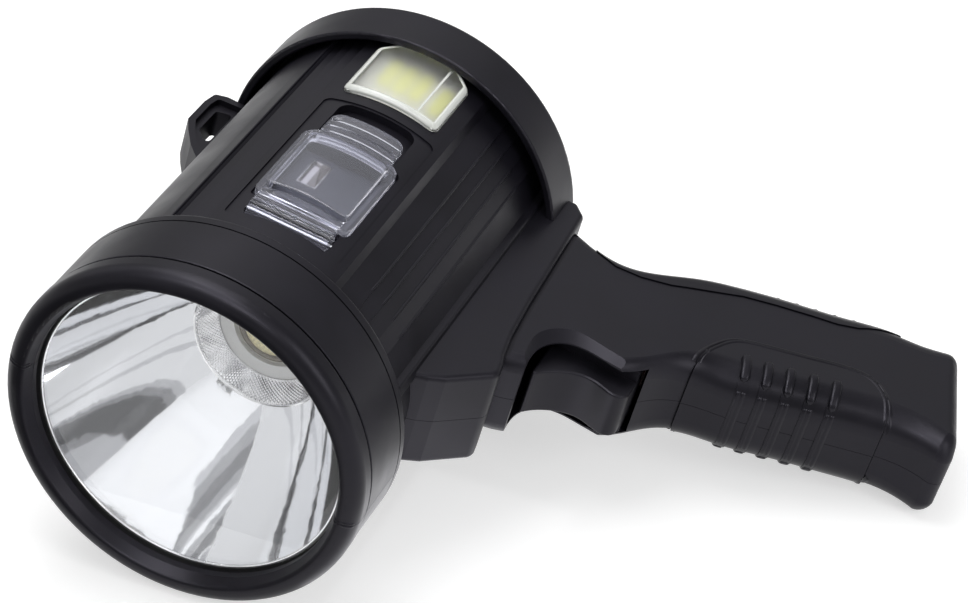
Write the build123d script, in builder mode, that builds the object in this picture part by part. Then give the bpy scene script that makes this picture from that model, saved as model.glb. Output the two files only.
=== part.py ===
from build123d import *
import os
from math import asin, atan2, cos, degrees, hypot, radians, sin, sqrt

os.makedirs("parts", exist_ok=True)

# The lamp is modelled in its own frame and leaned onto its right side at the end.
# x runs from the barrel's axis towards the handle, y from the lens to the back, z to the left.

# Fits and cuts
overrun = 2.0
far = 90.0
parting_gap = 0.16
seat_gap = 0.1
running_gap = 0.05
moving_gap = 0.4
inlay_gap = 0.3

# Front ring and band
ring_radius = 65.5
ring_nose_radius = 58.4
ring_nose_round = 1.6
ring_outer_round = 5.4
lip_radius = 56.4
lip_depth = 4.4
bezel_groove_depth = 9.7
bezel_groove_width = 1.1
bezel_groove_cut = 1.6
groove_round = 0.5
band_radius = 65.2
band_end = 33.4
line_groove_width = 0.6
line_groove_cut = 0.8
collar_end = 38.4
collar_round = 1.6

# Barrel section
barrel_radius = 58.9
panel_angle = 24.4
step_foot_angle = 27.4
step_floor_radius = 56.3
shingle_angles = (36.2, 42.4, 49.0, 55.8)
shingle_turn = 0.35
shingle_high_radius = 57.0
shingle_low_radius = 56.45
bead_foot_angle = 67.2
bead_start_angle = 68.2
bead_end_angle = 72.4
foot_radius = 57.0
bead_round = 1.0
crest_radius = 59.8
crest_angle = 38.4
crest_round = 0.4
ridge_angles = (29.4, 33.2, 37.0)
ridge_start = 25.6
ridge_high_radius = 58.4
ridge_low_radius = 57.5

# Hood round the back and the plate behind the barrel
hood_front = 170.8
hood_inner_radius = 62.3
hood_floor = 186.0
head_length = 193.0
hood_lip_round = 0.9
hood_back_round = 3.0
hood_floor_round = 2.0

# Hollow of the head
lens_radius = 59.2
lens_depth = 7.1
lens_thickness = 2.4
gasket_thickness = 1.2
gasket_inner_radius = 55.6
flange_thickness = 1.4
back_gasket_thickness = 0.8
back_gasket_inner_radius = 57.2
ledge_radius = 56.9
ledge_thickness = 2.0
front_bore_radius = 60.2
front_bore_end = 34.6
cavity_start = 37.6
cavity_radius = 53.2
cavity_end = 184.4
back_bore_radius = 38.0

# Rear cover
rear_cover_radius = 50.0
rear_cover_thickness = 3.0
rear_screw_circle = 44.0
rear_screw_count = 4
rear_screw_turn = 45.0

# Saddle between the barrel and the handle, with the chin in front of the trigger
saddle_half = 20.0
saddle_edge_round = 2.0
saddle_outline = (
    (44.0, 56.0),
    (60.0, 62.4),
    (65.3, 65.6),
    (79.4, 79.6),
    (78.4, 86.0),
    (76.9, 91.0),
    (74.9, 103.0),
    (73.2, 124.5),
    (70.9, 172.8),
    (70.3, 182.4),
    (65.6, 187.6),
    (44.0, 187.6),
)
saddle_rounds = (((65.3, 65.6), 1.2), ((79.4, 79.6), 4.6), ((70.3, 182.4), 2.2), ((65.6, 187.6), 2.2))
neck_groove_outline = (
    (76.9, 90.0),
    (74.9, 103.0),
    (73.2, 124.5),
    (70.9, 172.8),
    (72.4, 172.8),
    (74.6, 124.7),
    (76.3, 103.2),
    (78.3, 90.0),
)
neck_groove_cut = 1.0
chin_hollow_outline = ((58.0, 66.6), (61.0, 68.0), (75.2, 81.6), (73.6, 88.0), (71.6, 97.0), (58.0, 97.0))
chin_hollow_half = 16.0

# Handle: distance from the barrel's axis, front edge, back edge, half width, corner round
grip_stations = (
    (46.0, 96.0, 180.0, 18.0, 5.5),
    (60.0, 93.5, 180.0, 18.0, 5.5),
    (74.0, 91.6, 175.2, 18.0, 6.0),
    (84.0, 94.6, 171.5, 18.0, 6.0),
    (94.0, 101.4, 170.9, 18.0, 6.0),
    (106.0, 110.4, 175.6, 18.0, 6.0),
    (117.0, 118.4, 182.4, 18.0, 6.5),
    (125.0, 127.6, 187.0, 17.8, 7.5),
    (134.0, 133.6, 191.4, 17.6, 9.0),
    (150.0, 137.0, 196.8, 17.5, 10.0),
    (170.0, 143.0, 202.0, 17.6, 10.5),
    (188.0, 148.6, 206.2, 18.0, 10.5),
    (200.0, 152.2, 206.8, 18.0, 10.0),
    (211.0, 154.0, 209.0, 18.0, 9.0),
    (221.0, 152.8, 209.4, 18.0, 8.0),
    (236.0, 151.4, 207.6, 18.0, 7.0),
)
grip_wall = 2.8
butt_top = (230.0, 150.0)
butt_bottom = (211.4, 214.2)
butt_wall = 3.4
butt_round = 4.4
lean_steps = 4

# Pocket round the trigger
pocket_edge = ((84.2, 88.0), (83.8, 97.5), (84.4, 107.1), (87.4, 112.8), (91.6, 116.2),
               (97.5, 117.4), (106.2, 116.6), (114.1, 115.7), (120.6, 113.6))
pocket_rim = ((82.2, 88.0), (81.1, 102.8), (81.7, 112.4), (85.9, 118.4), (92.2, 121.6),
              (100.1, 121.1), (112.1, 119.2), (120.1, 118.0), (124.4, 115.0))
pocket_mouth = 76.0
pocket_bevel = 2.2

# Trigger
trigger_face = ((85.4, 98.6), (88.9, 103.9), (93.0, 107.5), (98.0, 110.3), (104.0, 111.5),
                (110.0, 110.0), (114.4, 109.1), (117.0, 110.2), (118.6, 113.0))
trigger_back = ((118.6, 126.0), (92.0, 128.5), (85.4, 122.0))
trigger_half = 9.5
trigger_edge_round = 0.9
trigger_end_round = 1.0
skirt_outline = ((86.4, 120.6), (118.4, 120.6), (118.4, 124.4), (88.0, 127.4))
skirt_half = 14.3
slot_half = 14.9
trigger_slot_outline = ((84.2, 100.0), (120.6, 100.0), (120.6, 131.0), (84.2, 131.0))
pivot = (88.6, 125.0)
pivot_boss_radius = 4.2
trigger_pin_radius = 1.5
trigger_pin_half = 16.6
spring_slot_half = 4.4
spring_slot_outline = ((88.6, 119.4), (95.0, 119.4), (95.0, 131.0), (84.0, 131.0))
spring_wire = 0.8
spring_radius = 2.7
spring_turns = 4
spring_pitch = 1.3
trigger_hollow_outline = ((97.0, 114.0), (116.2, 114.0), (116.2, 132.0), (97.0, 132.0))
trigger_hollow_half = 7.4
plunger_outline = ((109.0, 112.6), (115.0, 112.6), (115.0, 131.2), (109.0, 131.2))
plunger_half = 3.0

# Switch behind the trigger
switch_outline = ((106.0, 136.6), (118.0, 136.6), (118.0, 146.0), (106.0, 146.0))
switch_half = 4.0
button_outline = ((110.4, 135.7), (113.6, 135.7), (113.6, 136.6), (110.4, 136.6))
button_half = 1.6
switch_shelf_outline = ((103.0, 146.0), (121.0, 146.0), (121.0, 148.6), (103.0, 148.6))

# Grip pads on the handle's front and sides
pad_outline = ((134.2, 118.0), (133.4, 135.3), (134.8, 145.2), (138.9, 153.6), (143.5, 157.7),
               (152.7, 160.8), (166.5, 165.0), (180.4, 169.3), (190.5, 169.6), (197.6, 163.2),
               (201.9, 154.6), (203.6, 145.8), (203.6, 118.0))
pad_round = 3.0
pad_rise = 0.9
inlay_depth = 1.2
rib_tops = ((148.3, 147.8), (156.3, 149.6), (164.2, 151.8), (172.3, 154.0), (180.5, 156.2))
rib_feet = ((153.0, 134.0), (160.7, 135.1), (168.4, 137.9), (176.7, 139.5), (184.1, 142.9))
rib_width = 3.8
rib_rise = 1.3
strap_groove_width = 0.9
strap_groove_cut = 0.7
strap_groove_drop = 12.0

# Rubber insert along the handle's back
backstrap_outline = ((80.6, 168.9), (90.3, 164.6), (100.3, 165.2), (111.3, 168.6), (123.2, 174.9),
                     (135.4, 181.4), (146.8, 185.0), (160.1, 188.4), (169.9, 190.4), (177.4, 193.4),
                     (184.1, 198.8), (192.0, 203.2), (192.0, 225.0), (80.6, 200.0))
backstrap_round = 2.4
backstrap_rise = 0.5

# Strap lug on top of the head
lug_outline = ((-54.0, 127.0), (-60.4, 129.0), (-66.8, 136.0), (-71.6, 143.5), (-74.5, 149.0),
               (-74.5, 162.6), (-73.4, 169.0), (-69.0, 170.7), (-54.0, 170.7))
lug_half = 8.0
lug_recess_outline = ((-60.4, 133.5), (-66.2, 139.5), (-70.0, 146.0), (-72.0, 150.4), (-72.0, 162.4),
                      (-71.0, 167.4), (-60.4, 168.2))
lug_web_half = 5.6
lug_eye_outline = ((-63.2, 142.0), (-69.4, 149.0), (-69.4, 163.0), (-63.2, 165.0))
lug_round = 1.6
lug_tenon_radius = 55.0
lug_tenon_span = (132.0, 164.0)
lug_tenon_half = 3.0

# Panel on the left side: port recess, finger notch and side lamp
recess_radius = 57.1
recess_strip = (16.0, 54.2, 66.0)
recess_window = (18.7, 65.4, 110.0)
recess_tab = (14.9, 109.0, 124.4)
recess_round = 2.6
notch_radius = 55.3
notch_span = (14.7, 113.0, 132.6)
notch_round = 4.2
frame_half = 21.5
frame_span = (51.6, 133.6)
frame_cut = 0.5

# Inner block that carries the port plate and the hinge
block_half = 20.0
block_span = (49.6, 113.6)
block_floor = 45.4
plate_half = 15.8
plate_span = (68.4, 107.6)
plate_top = 49.6
plate_thickness = 1.7
plate_window_half = 13.2
plate_window_span = (71.4, 104.6)

# Socket
socket_centre = (-7.4, 96.8)
socket_wide = 7.2
socket_long = 14.8
socket_deep = 13.0
socket_wall = 0.45
tongue_wide = 2.0
tongue_long = 12.0
tongue_shift = 1.5
tongue_drop = 1.4
charge_board_half = 15.0
charge_board_span = (65.6, 113.0)
board_thickness = 1.6
charge_post_radius = 2.6
charge_screw_places = ((-11.8, 68.4), (11.8, 68.4), (-11.8, 110.0), (11.8, 110.0))
socket_rise = 0.3

# Flip cover over the port
cover_pin_depth = 59.0
cover_pin_height = 55.2
cover_pin_radius = 0.7
cover_pin_half = 16.8
cover_roll_radius = 4.4
cover_roll_clear = 5.0
cover_half = 15.0
roll_notches = (62.0, 84.0, 106.0)
roll_notch_radius = 0.5
strip_span = (59.0, 67.6)
strip_bottom = 57.45
strip_top = 59.6
strip_lines = (63.2, 65.0)
strip_line_radius = 0.4
flange_half = 18.0
flange_span = (66.0, 109.2)
flange_clip = 3.6
flange_low_radius = 57.5
flange_top_radius = 60.2
window_half = 15.6
window_span = (69.0, 106.4)
window_clip = 3.0
window_top_radius = 62.9
window_wall = 1.3
window_edge_round = 0.8
tab_half = 13.9
tab_span = (107.0, 123.8)
tab_top_radius = 59.4
tab_round = 4.0
tab_lines = (112.0, 115.6, 119.2)
tab_line_cut = 0.5

# Side lamp
side_lens_outline = (
    (-18.5, 139.2),
    (18.5, 139.2),
    (18.5, 169.6),
    (11.4, 175.6),
    (-11.4, 175.6),
    (-18.5, 169.6),
)
side_lens_rounds = (3.0, 3.0, 2.4, 2.4, 2.4, 2.4)
side_lens_low_radius = 55.6
side_lens_top_radius = 61.2
side_lens_bevel = 2.0
side_lens_wall = 1.5
side_ledge = 2.0
side_board_inset = 2.3
side_board_height = 51.9
side_rail_front = (134.6, 144.6)
side_rail_back = (170.2, 178.0)
side_rail_half = 19.0
side_rail_floor = 48.6
side_chip_places = ((-9.0, 161.5), (-2.9, 161.5), (3.2, 161.5), (12.2, 158.6))
side_chip_size = (4.2, 16.0)
side_chip_height = 1.0
side_screw_places = ((-12.0, 143.2), (12.0, 143.2), (-8.0, 171.6), (8.0, 171.6))

# Solar window on the right side
solar_half = 19.6
solar_span = (62.0, 163.0)
solar_corner = 3.0
solar_floor = 51.2
solar_cell_thickness = 1.6
solar_window_radius = 58.6
solar_block_half = 23.0
solar_block_span = (57.6, 167.4)
solar_block_floor = 48.6

# Bowl, collar and lamp chip
bowl_focus_gain = 44.5
bowl_apex = 80.0
bowl_wall = 1.2
bowl_end = 65.0
bowl_steps = 8
collar_throat_radius = 19.7
collar_foot_radius = 22.6
collar_wall = 2.0
collar_back = 72.5
chip_radius = 19.5
chip_window_radius = 14.3
chip_base_thickness = 1.8
phosphor_radius = 12.6
phosphor_thickness = 0.7
dome_radius = 13.9
dome_rise = 4.6
dome_shoulder_share = 0.72
dome_shoulder_rise_share = 0.62
led_board_radius = 27.0
heat_plate_thickness = 3.0
heat_plate_radius = 33.0
heat_arm_half = 9.0
heat_arm_reach = 52.6
heat_fin_count = 9
heat_fin_thickness = 1.6
heat_fin_gap = 6.0
heat_fin_length = 20.0
heat_fin_radius = 30.0
heat_pad_root = 45.0
heat_pad_half = 11.0
heat_pad_depth = 8.0
sink_screw_reach = 49.0
sink_screw_height = 5.2
sink_screw_length = 6.0
board_screw_reach = 5.0
side_screw_length = 2.4

# Driver board in the head
main_board_height = -22.0
main_board_half = 34.0
main_board_span = (108.0, 160.0)
main_post_radius = 3.2
main_posts = ((-29.0, 113.0), (29.0, 113.0), (-29.0, 155.0), (29.0, 155.0))
coil_place = (8.0, 130.0)
coil_radius = 8.0
coil_height = 9.0
coil_bore_radius = 3.4

# Cells and their cradle in the handle
cell_radius = 9.2
cell_length = 65.0
cell_start = 142.0
cell_front = 155.6
cell_rake = 11.6
cell_spread = 19.2
cradle_plate = 2.2
cradle_gap = 0.2
web_height = 9.4
web_width = 4.6
web_depth = 6.0

# Screws
screw_shank = 1.25
screw_head = 2.6
screw_head_height = 1.8
small_shank = 0.9
small_head = 1.8
small_head_height = 1.2
long_screw_places = ((-45.0, 46.0), (-45.0, 162.0), (59.0, 120.0), (59.0, 164.0), (127.0, 140.0),
                     (126.0, 166.0), (214.8, 163.0), (211.0, 195.0))
long_screw_seats = (24.0, 24.0, 14.0, 14.0, 11.0, 11.0, 11.0, 11.0)
long_boss = 4.2
long_screw_reach = 9.0
bore_gap = 0.15
thread_gap = 0.02


def across(depth):
    """Plane square to the barrel's axis; its own y is the lamp's z."""
    return Plane.XZ.offset(-depth)


def on_barrel(angle, radius):
    """Point of the barrel's section, its angle counted from the panel's middle to the handle."""
    return (radius * sin(radians(angle)), radius * cos(radians(angle)))


def nearest(shape, *point):
    """Corner of a sketch nearest to a point."""
    return shape.vertices().sort_by_distance(Vector(*point))[0]


def grip_loft(grow):
    """Solid through the handle's stations, each grown outwards by the same amount."""
    with BuildPart() as body:
        for reach, front, back, half, corner in grip_stations:
            with BuildSketch(Plane.YZ.offset(reach)):
                with Locations(((front + back) / 2, 0)):
                    RectangleRounded(back - front + 2 * grow, 2 * (half + grow), corner + grow)
        loft()
    return body.part


def side_slab(outline, low, high, corner=0):
    """Prism over a closed outline in the lamp's side view, between two heights."""
    with BuildPart() as slab:
        with BuildSketch(Plane.XY.offset(low)) as side:
            Polygon(*outline, align=None)
            if corner:
                fillet(side.vertices(), radius=corner)
        extrude(amount=high - low)
    return slab.part


def box_slab(half, span, low, high, corner=0):
    """Upright block of a half width over a stretch of the barrel, between two heights."""
    with BuildPart() as slab:
        with BuildSketch(Plane.XY.offset(low)):
            with Locations((0, (span[0] + span[1]) / 2)):
                if corner:
                    RectangleRounded(2 * half, span[1] - span[0], corner)
                else:
                    Rectangle(2 * half, span[1] - span[0])
        extrude(amount=high - low)
    return slab.part


def tube(outer, inner, start, end):
    """Ring about the barrel's axis."""
    with BuildPart() as ring:
        with BuildSketch(across(start)):
            Circle(outer)
            if inner:
                Circle(inner, mode=Mode.SUBTRACT)
        extrude(amount=-(end - start))
    return ring.part


def rod(place, radius, low, high):
    """Upright cylinder at a place of the side view."""
    with BuildPart() as bar:
        with BuildSketch(Plane.XY.offset(low)):
            with Locations(place):
                Circle(radius)
        extrude(amount=high - low)
    return bar.part


# Section of the barrel: steps and a bead on the handle's side, ridges and a plain crest on the other
foot_wedge = (on_barrel(bead_end_angle, 2 * far), on_barrel(180 - bead_end_angle, 2 * far))
barrel_feet = Polygon((0, 0), *foot_wedge, align=None) - Circle(foot_radius)
crest_start = on_barrel(crest_angle, 2 * far)
crest_side = Polygon((0, 0), (-crest_start[0], crest_start[1]), (-2 * far, crest_start[1]),
                     (-2 * far, -crest_start[1]), (-crest_start[0], -crest_start[1]), align=None)
crest = Circle(crest_radius) & crest_side
step_places = [(panel_angle, barrel_radius), (step_foot_angle, step_floor_radius)]
for angle in shingle_angles:
    step_places += [(angle, shingle_high_radius), (angle + shingle_turn, shingle_low_radius)]
step_places += [(bead_foot_angle, shingle_low_radius), (bead_start_angle, barrel_radius)]
step_places += [(bead_start_angle, ring_radius), (panel_angle, ring_radius)]
ridge_places = [(panel_angle, barrel_radius), (ridge_start, ridge_low_radius)]
for angle in ridge_angles:
    ridge_places += [(angle, ridge_high_radius), (angle + shingle_turn, ridge_low_radius)]
ridge_places += [(crest_angle, crest_radius), (crest_angle, ring_radius), (panel_angle, ring_radius)]

with BuildPart() as barrel:
    with BuildSketch(across(collar_end - overrun)) as barrel_section:
        Circle(barrel_radius)
        add(crest)
        for side, places in ((1, step_places), (-1, ridge_places)):
            for face in (1, -1):
                points = [on_barrel(*place) for place in places]
                Polygon(*[(side * px, face * py) for px, py in points], align=None, mode=Mode.SUBTRACT)
        add(barrel_feet, mode=Mode.SUBTRACT)
        for face in (1, -1):
            for angle in (bead_start_angle, bead_end_angle):
                px, py = on_barrel(angle, barrel_radius)
                fillet(nearest(barrel_section, px, face * py, 0), radius=bead_round)
            px, py = on_barrel(crest_angle, crest_radius)
            fillet(nearest(barrel_section, -px, face * py, 0), radius=crest_round)
    extrude(amount=-(hood_floor - collar_end + 2 * overrun))

with BuildPart() as head_solid:
    with BuildSketch(Plane.XY) as turned:
        with BuildLine():
            Polyline(
                (0, lip_depth),
                (lip_radius, lip_depth),
                (ring_nose_radius, 0),
                (ring_radius, 0),
                (ring_radius, bezel_groove_depth),
                (ring_radius - bezel_groove_cut, bezel_groove_depth),
                (ring_radius - bezel_groove_cut, bezel_groove_depth + bezel_groove_width),
                (band_radius, bezel_groove_depth + bezel_groove_width),
                (band_radius, band_end),
                (band_radius - line_groove_cut, band_end),
                (band_radius - line_groove_cut, band_end + line_groove_width),
                (band_radius, band_end + line_groove_width),
                (band_radius, collar_end),
                (0, collar_end),
                close=True,
            )
        make_face()
        for corner, size in (
            ((ring_nose_radius, 0), ring_nose_round),
            ((ring_radius, 0), ring_outer_round),
            ((ring_radius, bezel_groove_depth), groove_round),
            ((band_radius, bezel_groove_depth + bezel_groove_width), groove_round),
            ((band_radius, collar_end), collar_round),
        ):
            fillet(nearest(turned, *corner, 0), radius=size)
    revolve(axis=Axis.Y)
    with BuildSketch(Plane.XY) as hood_outline:
        with BuildLine():
            Polyline(
                (0, hood_floor),
                (hood_inner_radius, hood_floor),
                (hood_inner_radius, hood_front),
                (ring_radius, hood_front),
                (ring_radius, head_length),
                (0, head_length),
                close=True,
            )
        make_face()
        for corner, size in (
            ((hood_inner_radius, hood_floor), hood_floor_round),
            ((hood_inner_radius, hood_front), hood_lip_round),
            ((ring_radius, hood_front), hood_lip_round),
            ((ring_radius, head_length), hood_back_round),
        ):
            fillet(nearest(hood_outline, *corner, 0), radius=size)
    revolve(axis=Axis.Y)
    add(barrel.part)

with BuildPart() as saddle:
    with BuildSketch(Plane.XY) as saddle_side:
        Polygon(*saddle_outline, align=None)
        for corner, size in saddle_rounds:
            fillet(nearest(saddle_side, *corner, 0), radius=size)
    extrude(amount=saddle_half, both=True)
    rims = saddle.edges().filter_by_position(Axis.Z, saddle_half, saddle_half)
    rims += saddle.edges().filter_by_position(Axis.Z, -saddle_half, -saddle_half)
    fillet(rims, radius=saddle_edge_round)


def butt_side(inset):
    """Everything past the handle's slanted end, moved inwards by an inset."""
    run = (butt_bottom[0] - butt_top[0], butt_bottom[1] - butt_top[1])
    upper = (butt_top[0] - run[0] - inset, butt_top[1] - run[1])
    lower = (butt_bottom[0] + run[0] - inset, butt_bottom[1] + run[1])
    return side_slab((upper, lower, (lower[0] + far, lower[1]), (upper[0] + far, upper[1])), -far, far)


with BuildPart() as grip:
    add(grip_loft(0))
    add(butt_side(0), mode=Mode.SUBTRACT)
    fillet(grip.faces().sort_by(Axis.X)[-1].edges(), radius=butt_round)
with BuildPart() as outer:
    add(head_solid.part)
    add(saddle.part)
    add(grip.part)

# Depths of the stack behind the lens, and heights of the port's stack
lens_back = lens_depth + lens_thickness
flange_front = lens_back + gasket_thickness
flange_back = flange_front + flange_thickness
seat_end = flange_back + back_gasket_thickness
chip_back = collar_back + chip_base_thickness
heat_front = chip_back + board_thickness
heat_back = heat_front + heat_plate_thickness
mouth_top = plate_top + socket_rise
board_top = mouth_top - socket_deep

# Hollow of the head, the chin and the handle
with BuildPart() as hollow:
    with BuildSketch(Plane.XY):
        Polygon(
            (0, -overrun),
            (lip_radius, -overrun),
            (lip_radius, lens_depth),
            (lens_radius + seat_gap, lens_depth),
            (lens_radius + seat_gap, seat_end),
            (ledge_radius, seat_end),
            (ledge_radius, seat_end + ledge_thickness),
            (front_bore_radius, seat_end + ledge_thickness),
            (front_bore_radius, front_bore_end),
            (cavity_radius, cavity_start),
            (cavity_radius, cavity_end),
            (back_bore_radius, cavity_end),
            (back_bore_radius, head_length - rear_cover_thickness),
            (rear_cover_radius + seat_gap, head_length - rear_cover_thickness),
            (rear_cover_radius + seat_gap, head_length + overrun),
            (0, head_length + overrun),
            align=None,
        )
    revolve(axis=Axis.Y)
    add(side_slab(chin_hollow_outline, -chin_hollow_half, chin_hollow_half))
with BuildPart() as grip_hollow:
    add(grip_loft(-grip_wall))
    add(butt_side(butt_wall), mode=Mode.SUBTRACT)


def pocket_face(points, height):
    """Face over the pocket's outline at a height, open towards the front."""
    with BuildSketch(Plane.XY.offset(height)) as mouth:
        with BuildLine():
            edge = Spline(*points)
            Polyline(edge @ 1, (points[-1][0], pocket_mouth), (points[0][0], pocket_mouth), edge @ 0)
        make_face()
    return mouth.sketch


# Pocket round the trigger with its bevelled rim
grip_half = grip_stations[0][3]
with BuildPart() as pocket:
    add(pocket_face(pocket_edge, 0))
    extrude(amount=far, both=True)
    for turn in (1, -1):
        add(pocket_face(pocket_edge, turn * (grip_half - pocket_bevel)))
        add(pocket_face(pocket_rim, turn * grip_half))
        loft(ruled=True)
        add(pocket_face(pocket_rim, turn * grip_half))
        extrude(amount=turn * far)

# Rubber inlays that follow the handle's surface
inlay_floor = grip_loft(-inlay_depth)
strap_skin = grip_loft(backstrap_rise)
pad_skin = grip_loft(pad_rise)
rib_skin = grip_loft(rib_rise)
groove_skin = grip_loft(pad_rise - strap_groove_cut)
with BuildPart() as rib_bars:
    for top, foot in zip(rib_tops, rib_feet):
        with BuildSketch(Plane.XY):
            with Locations(Location(((top[0] + foot[0]) / 2, (top[1] + foot[1]) / 2, 0),
                                    (0, 0, degrees(atan2(foot[1] - top[1], foot[0] - top[0]))))):
                SlotOverall(hypot(foot[0] - top[0], foot[1] - top[1]) + rib_width, rib_width)
        extrude(amount=far, both=True)
    add(rib_skin, mode=Mode.INTERSECT)
    add(inlay_floor, mode=Mode.SUBTRACT)
with BuildPart() as strap_grooves:
    for top, foot in zip(rib_tops, rib_feet):
        with BuildSketch(Plane.XY):
            with Locations((foot[0], foot[1] - strap_groove_drop)):
                Rectangle(strap_groove_width, 2 * strap_groove_drop)
        extrude(amount=far, both=True)
    add(groove_skin, mode=Mode.SUBTRACT)
with BuildPart() as pad_bed:
    add(side_slab(pad_outline, -far, far, pad_round))
    add(inlay_floor, mode=Mode.SUBTRACT)
with BuildPart() as pad_whole:
    with BuildSketch(Plane.XY) as pad_side:
        Polygon(*pad_outline, align=None)
        fillet(pad_side.vertices(), radius=pad_round)
        offset(amount=-inlay_gap, kind=Kind.INTERSECTION, mode=Mode.REPLACE)
    extrude(amount=far, both=True)
    add(pad_skin, mode=Mode.INTERSECT)
    add(strap_grooves.part, mode=Mode.SUBTRACT)
    add(inlay_floor, mode=Mode.SUBTRACT)
    add(rib_bars.part)
with BuildPart() as strap_bed:
    add(side_slab(backstrap_outline, -far, far, backstrap_round))
    add(inlay_floor, mode=Mode.SUBTRACT)
with BuildPart() as backstrap:
    with BuildSketch(Plane.XY) as strap_side:
        Polygon(*backstrap_outline, align=None)
        fillet(strap_side.vertices(), radius=backstrap_round)
        offset(amount=-inlay_gap, kind=Kind.INTERSECTION, mode=Mode.REPLACE)
    extrude(amount=far, both=True)
    add(strap_skin, mode=Mode.INTERSECT)
    add(inlay_floor, mode=Mode.SUBTRACT)


def tenon_slot(half, slack):
    """Block on the barrel's top that keys the strap lug into its wall."""
    middle = (lug_tenon_span[0] + lug_tenon_span[1]) / 2
    with BuildPart() as key:
        with BuildSketch(Plane.YZ.offset(-lug_tenon_radius + slack)):
            with Locations((middle, 0)):
                Rectangle(lug_tenon_span[1] - lug_tenon_span[0] + 2 * slack, 2 * half)
        extrude(amount=-(crest_radius - lug_tenon_radius + overrun))
    return key.part


# Walls, bosses and seats inside the housing
with BuildPart() as columns:
    for place in long_screw_places:
        add(rod(place, long_boss, -far, far))
    for place in main_posts:
        add(rod(place, main_post_radius, -far, main_board_height))
    for place in charge_screw_places:
        add(rod(place, charge_post_radius, board_top, block_floor + overrun))
    add(box_slab(block_half, block_span, block_floor, far))
    add(box_slab(side_rail_half, side_rail_front, side_rail_floor, far))
    add(box_slab(side_rail_half, side_rail_back, side_rail_floor, far))
    add(box_slab(solar_block_half, solar_block_span, -far, -solar_block_floor))
    for turn in (1, -1):
        add(rod(pivot, pivot_boss_radius, turn * (skirt_half + seat_gap), turn * far))
        with BuildSketch(across(heat_back)):
            with Locations((turn * (heat_pad_root + cavity_radius) / 2, 0)):
                Rectangle(cavity_radius - heat_pad_root + overrun, 2 * heat_pad_half)
        extrude(amount=-heat_pad_depth)
    add(side_slab(switch_shelf_outline, -saddle_half, saddle_half))
    add(outer.part, mode=Mode.INTERSECT)


def on_panel(half, span, inner, outer_radius, corner=0):
    """Part of a shell about the barrel's axis above a rounded oblong of the left side."""
    with BuildPart() as patch:
        add(tube(outer_radius, inner, span[0] - overrun, span[1] + overrun))
        add(box_slab(half, span, 0, far, corner), mode=Mode.INTERSECT)
    return patch.part


def lens_face(inset, height):
    """Outline of the side lamp, drawn in by an inset."""
    with BuildSketch(Plane.XY.offset(height)) as face:
        Polygon(*side_lens_outline, align=None)
        for corner, size in zip(side_lens_outline, side_lens_rounds):
            fillet(nearest(face, *corner, 0), radius=size)
        if inset:
            offset(amount=-inset, kind=Kind.INTERSECTION, mode=Mode.REPLACE)
    return face.sketch


def cross_rod(depth, height, radius, half):
    """Level cylinder along the panel's width."""
    with BuildPart() as bar:
        with BuildSketch(Plane.YZ.offset(-half)):
            with Locations((depth, height)):
                Circle(radius)
        extrude(amount=2 * half)
    return bar.part


# Openings of the left panel
with BuildPart() as panel_cuts:
    for half, start, end in (recess_strip, recess_window, recess_tab):
        add(on_panel(half, (start, end), recess_radius, far, recess_round))
    add(on_panel(notch_span[0], notch_span[1:], notch_radius, far, notch_round))
    add(on_panel(frame_half, frame_span, barrel_radius - frame_cut, far, recess_round))
    add(box_slab(plate_half + seat_gap, plate_span, plate_top - plate_thickness, far))
    add(box_slab(plate_window_half, plate_window_span, 0, far))
    add(cross_rod(cover_pin_depth, cover_pin_height, cover_roll_clear, cover_half + moving_gap))
    roll_span = (cover_pin_depth - cover_roll_clear, cover_pin_depth + cover_roll_clear)
    add(box_slab(cover_half + moving_gap, roll_span, cover_pin_height, far))
    pin_bore = cover_pin_radius + thread_gap
    add(cross_rod(cover_pin_depth, cover_pin_height, pin_bore, cover_pin_half + thread_gap))
with BuildPart() as lens_pocket:
    add(lens_face(-seat_gap, 0))
    extrude(amount=far)
    hood_room = tube(hood_inner_radius - overrun / 2, side_lens_low_radius, cavity_start, cavity_end)
    add(hood_room, mode=Mode.INTERSECT)
    add(lens_face(side_ledge, side_board_height))
    extrude(amount=side_lens_low_radius - side_board_height + overrun)
with BuildPart() as solar_pocket:
    with BuildSketch(Plane.XY.offset(-far)):
        with Locations((0, (solar_span[0] + solar_span[1]) / 2)):
            pocket_length = solar_span[1] - solar_span[0] + 2 * seat_gap
            RectangleRounded(2 * (solar_half + seat_gap), pocket_length, solar_corner)
    extrude(amount=far - solar_floor)

# Holes for the screws and pins
with BuildPart() as holes:
    for place, seat in zip(long_screw_places, long_screw_seats):
        add(rod(place, screw_head + bore_gap, -far, -seat))
        add(rod(place, screw_shank + bore_gap, -seat, 0))
        add(rod(place, screw_shank + thread_gap, 0, long_screw_reach))
    for place in main_posts:
        add(rod(place, small_shank + thread_gap, main_board_height - board_screw_reach, main_board_height))
    for place in side_screw_places:
        add(rod(place, small_shank + thread_gap, side_board_height - side_screw_length, side_board_height))
    for place in charge_screw_places:
        add(rod(place, small_shank + thread_gap, board_top, board_top + board_screw_reach))
    pin_reach = trigger_pin_half + thread_gap
    add(rod(pivot, trigger_pin_radius + thread_gap, -pin_reach, pin_reach))
    for turn in (1, -1):
        for rise in (1, -1):
            with BuildSketch(across(heat_back)):
                with Locations((turn * sink_screw_reach, rise * sink_screw_height)):
                    Circle(small_shank + thread_gap)
            extrude(amount=-sink_screw_length)
    with BuildSketch(across(cavity_end)):
        with PolarLocations(rear_screw_circle, rear_screw_count, start_angle=rear_screw_turn):
            Circle(screw_shank + thread_gap)
    extrude(amount=-(head_length - cavity_end))

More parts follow.
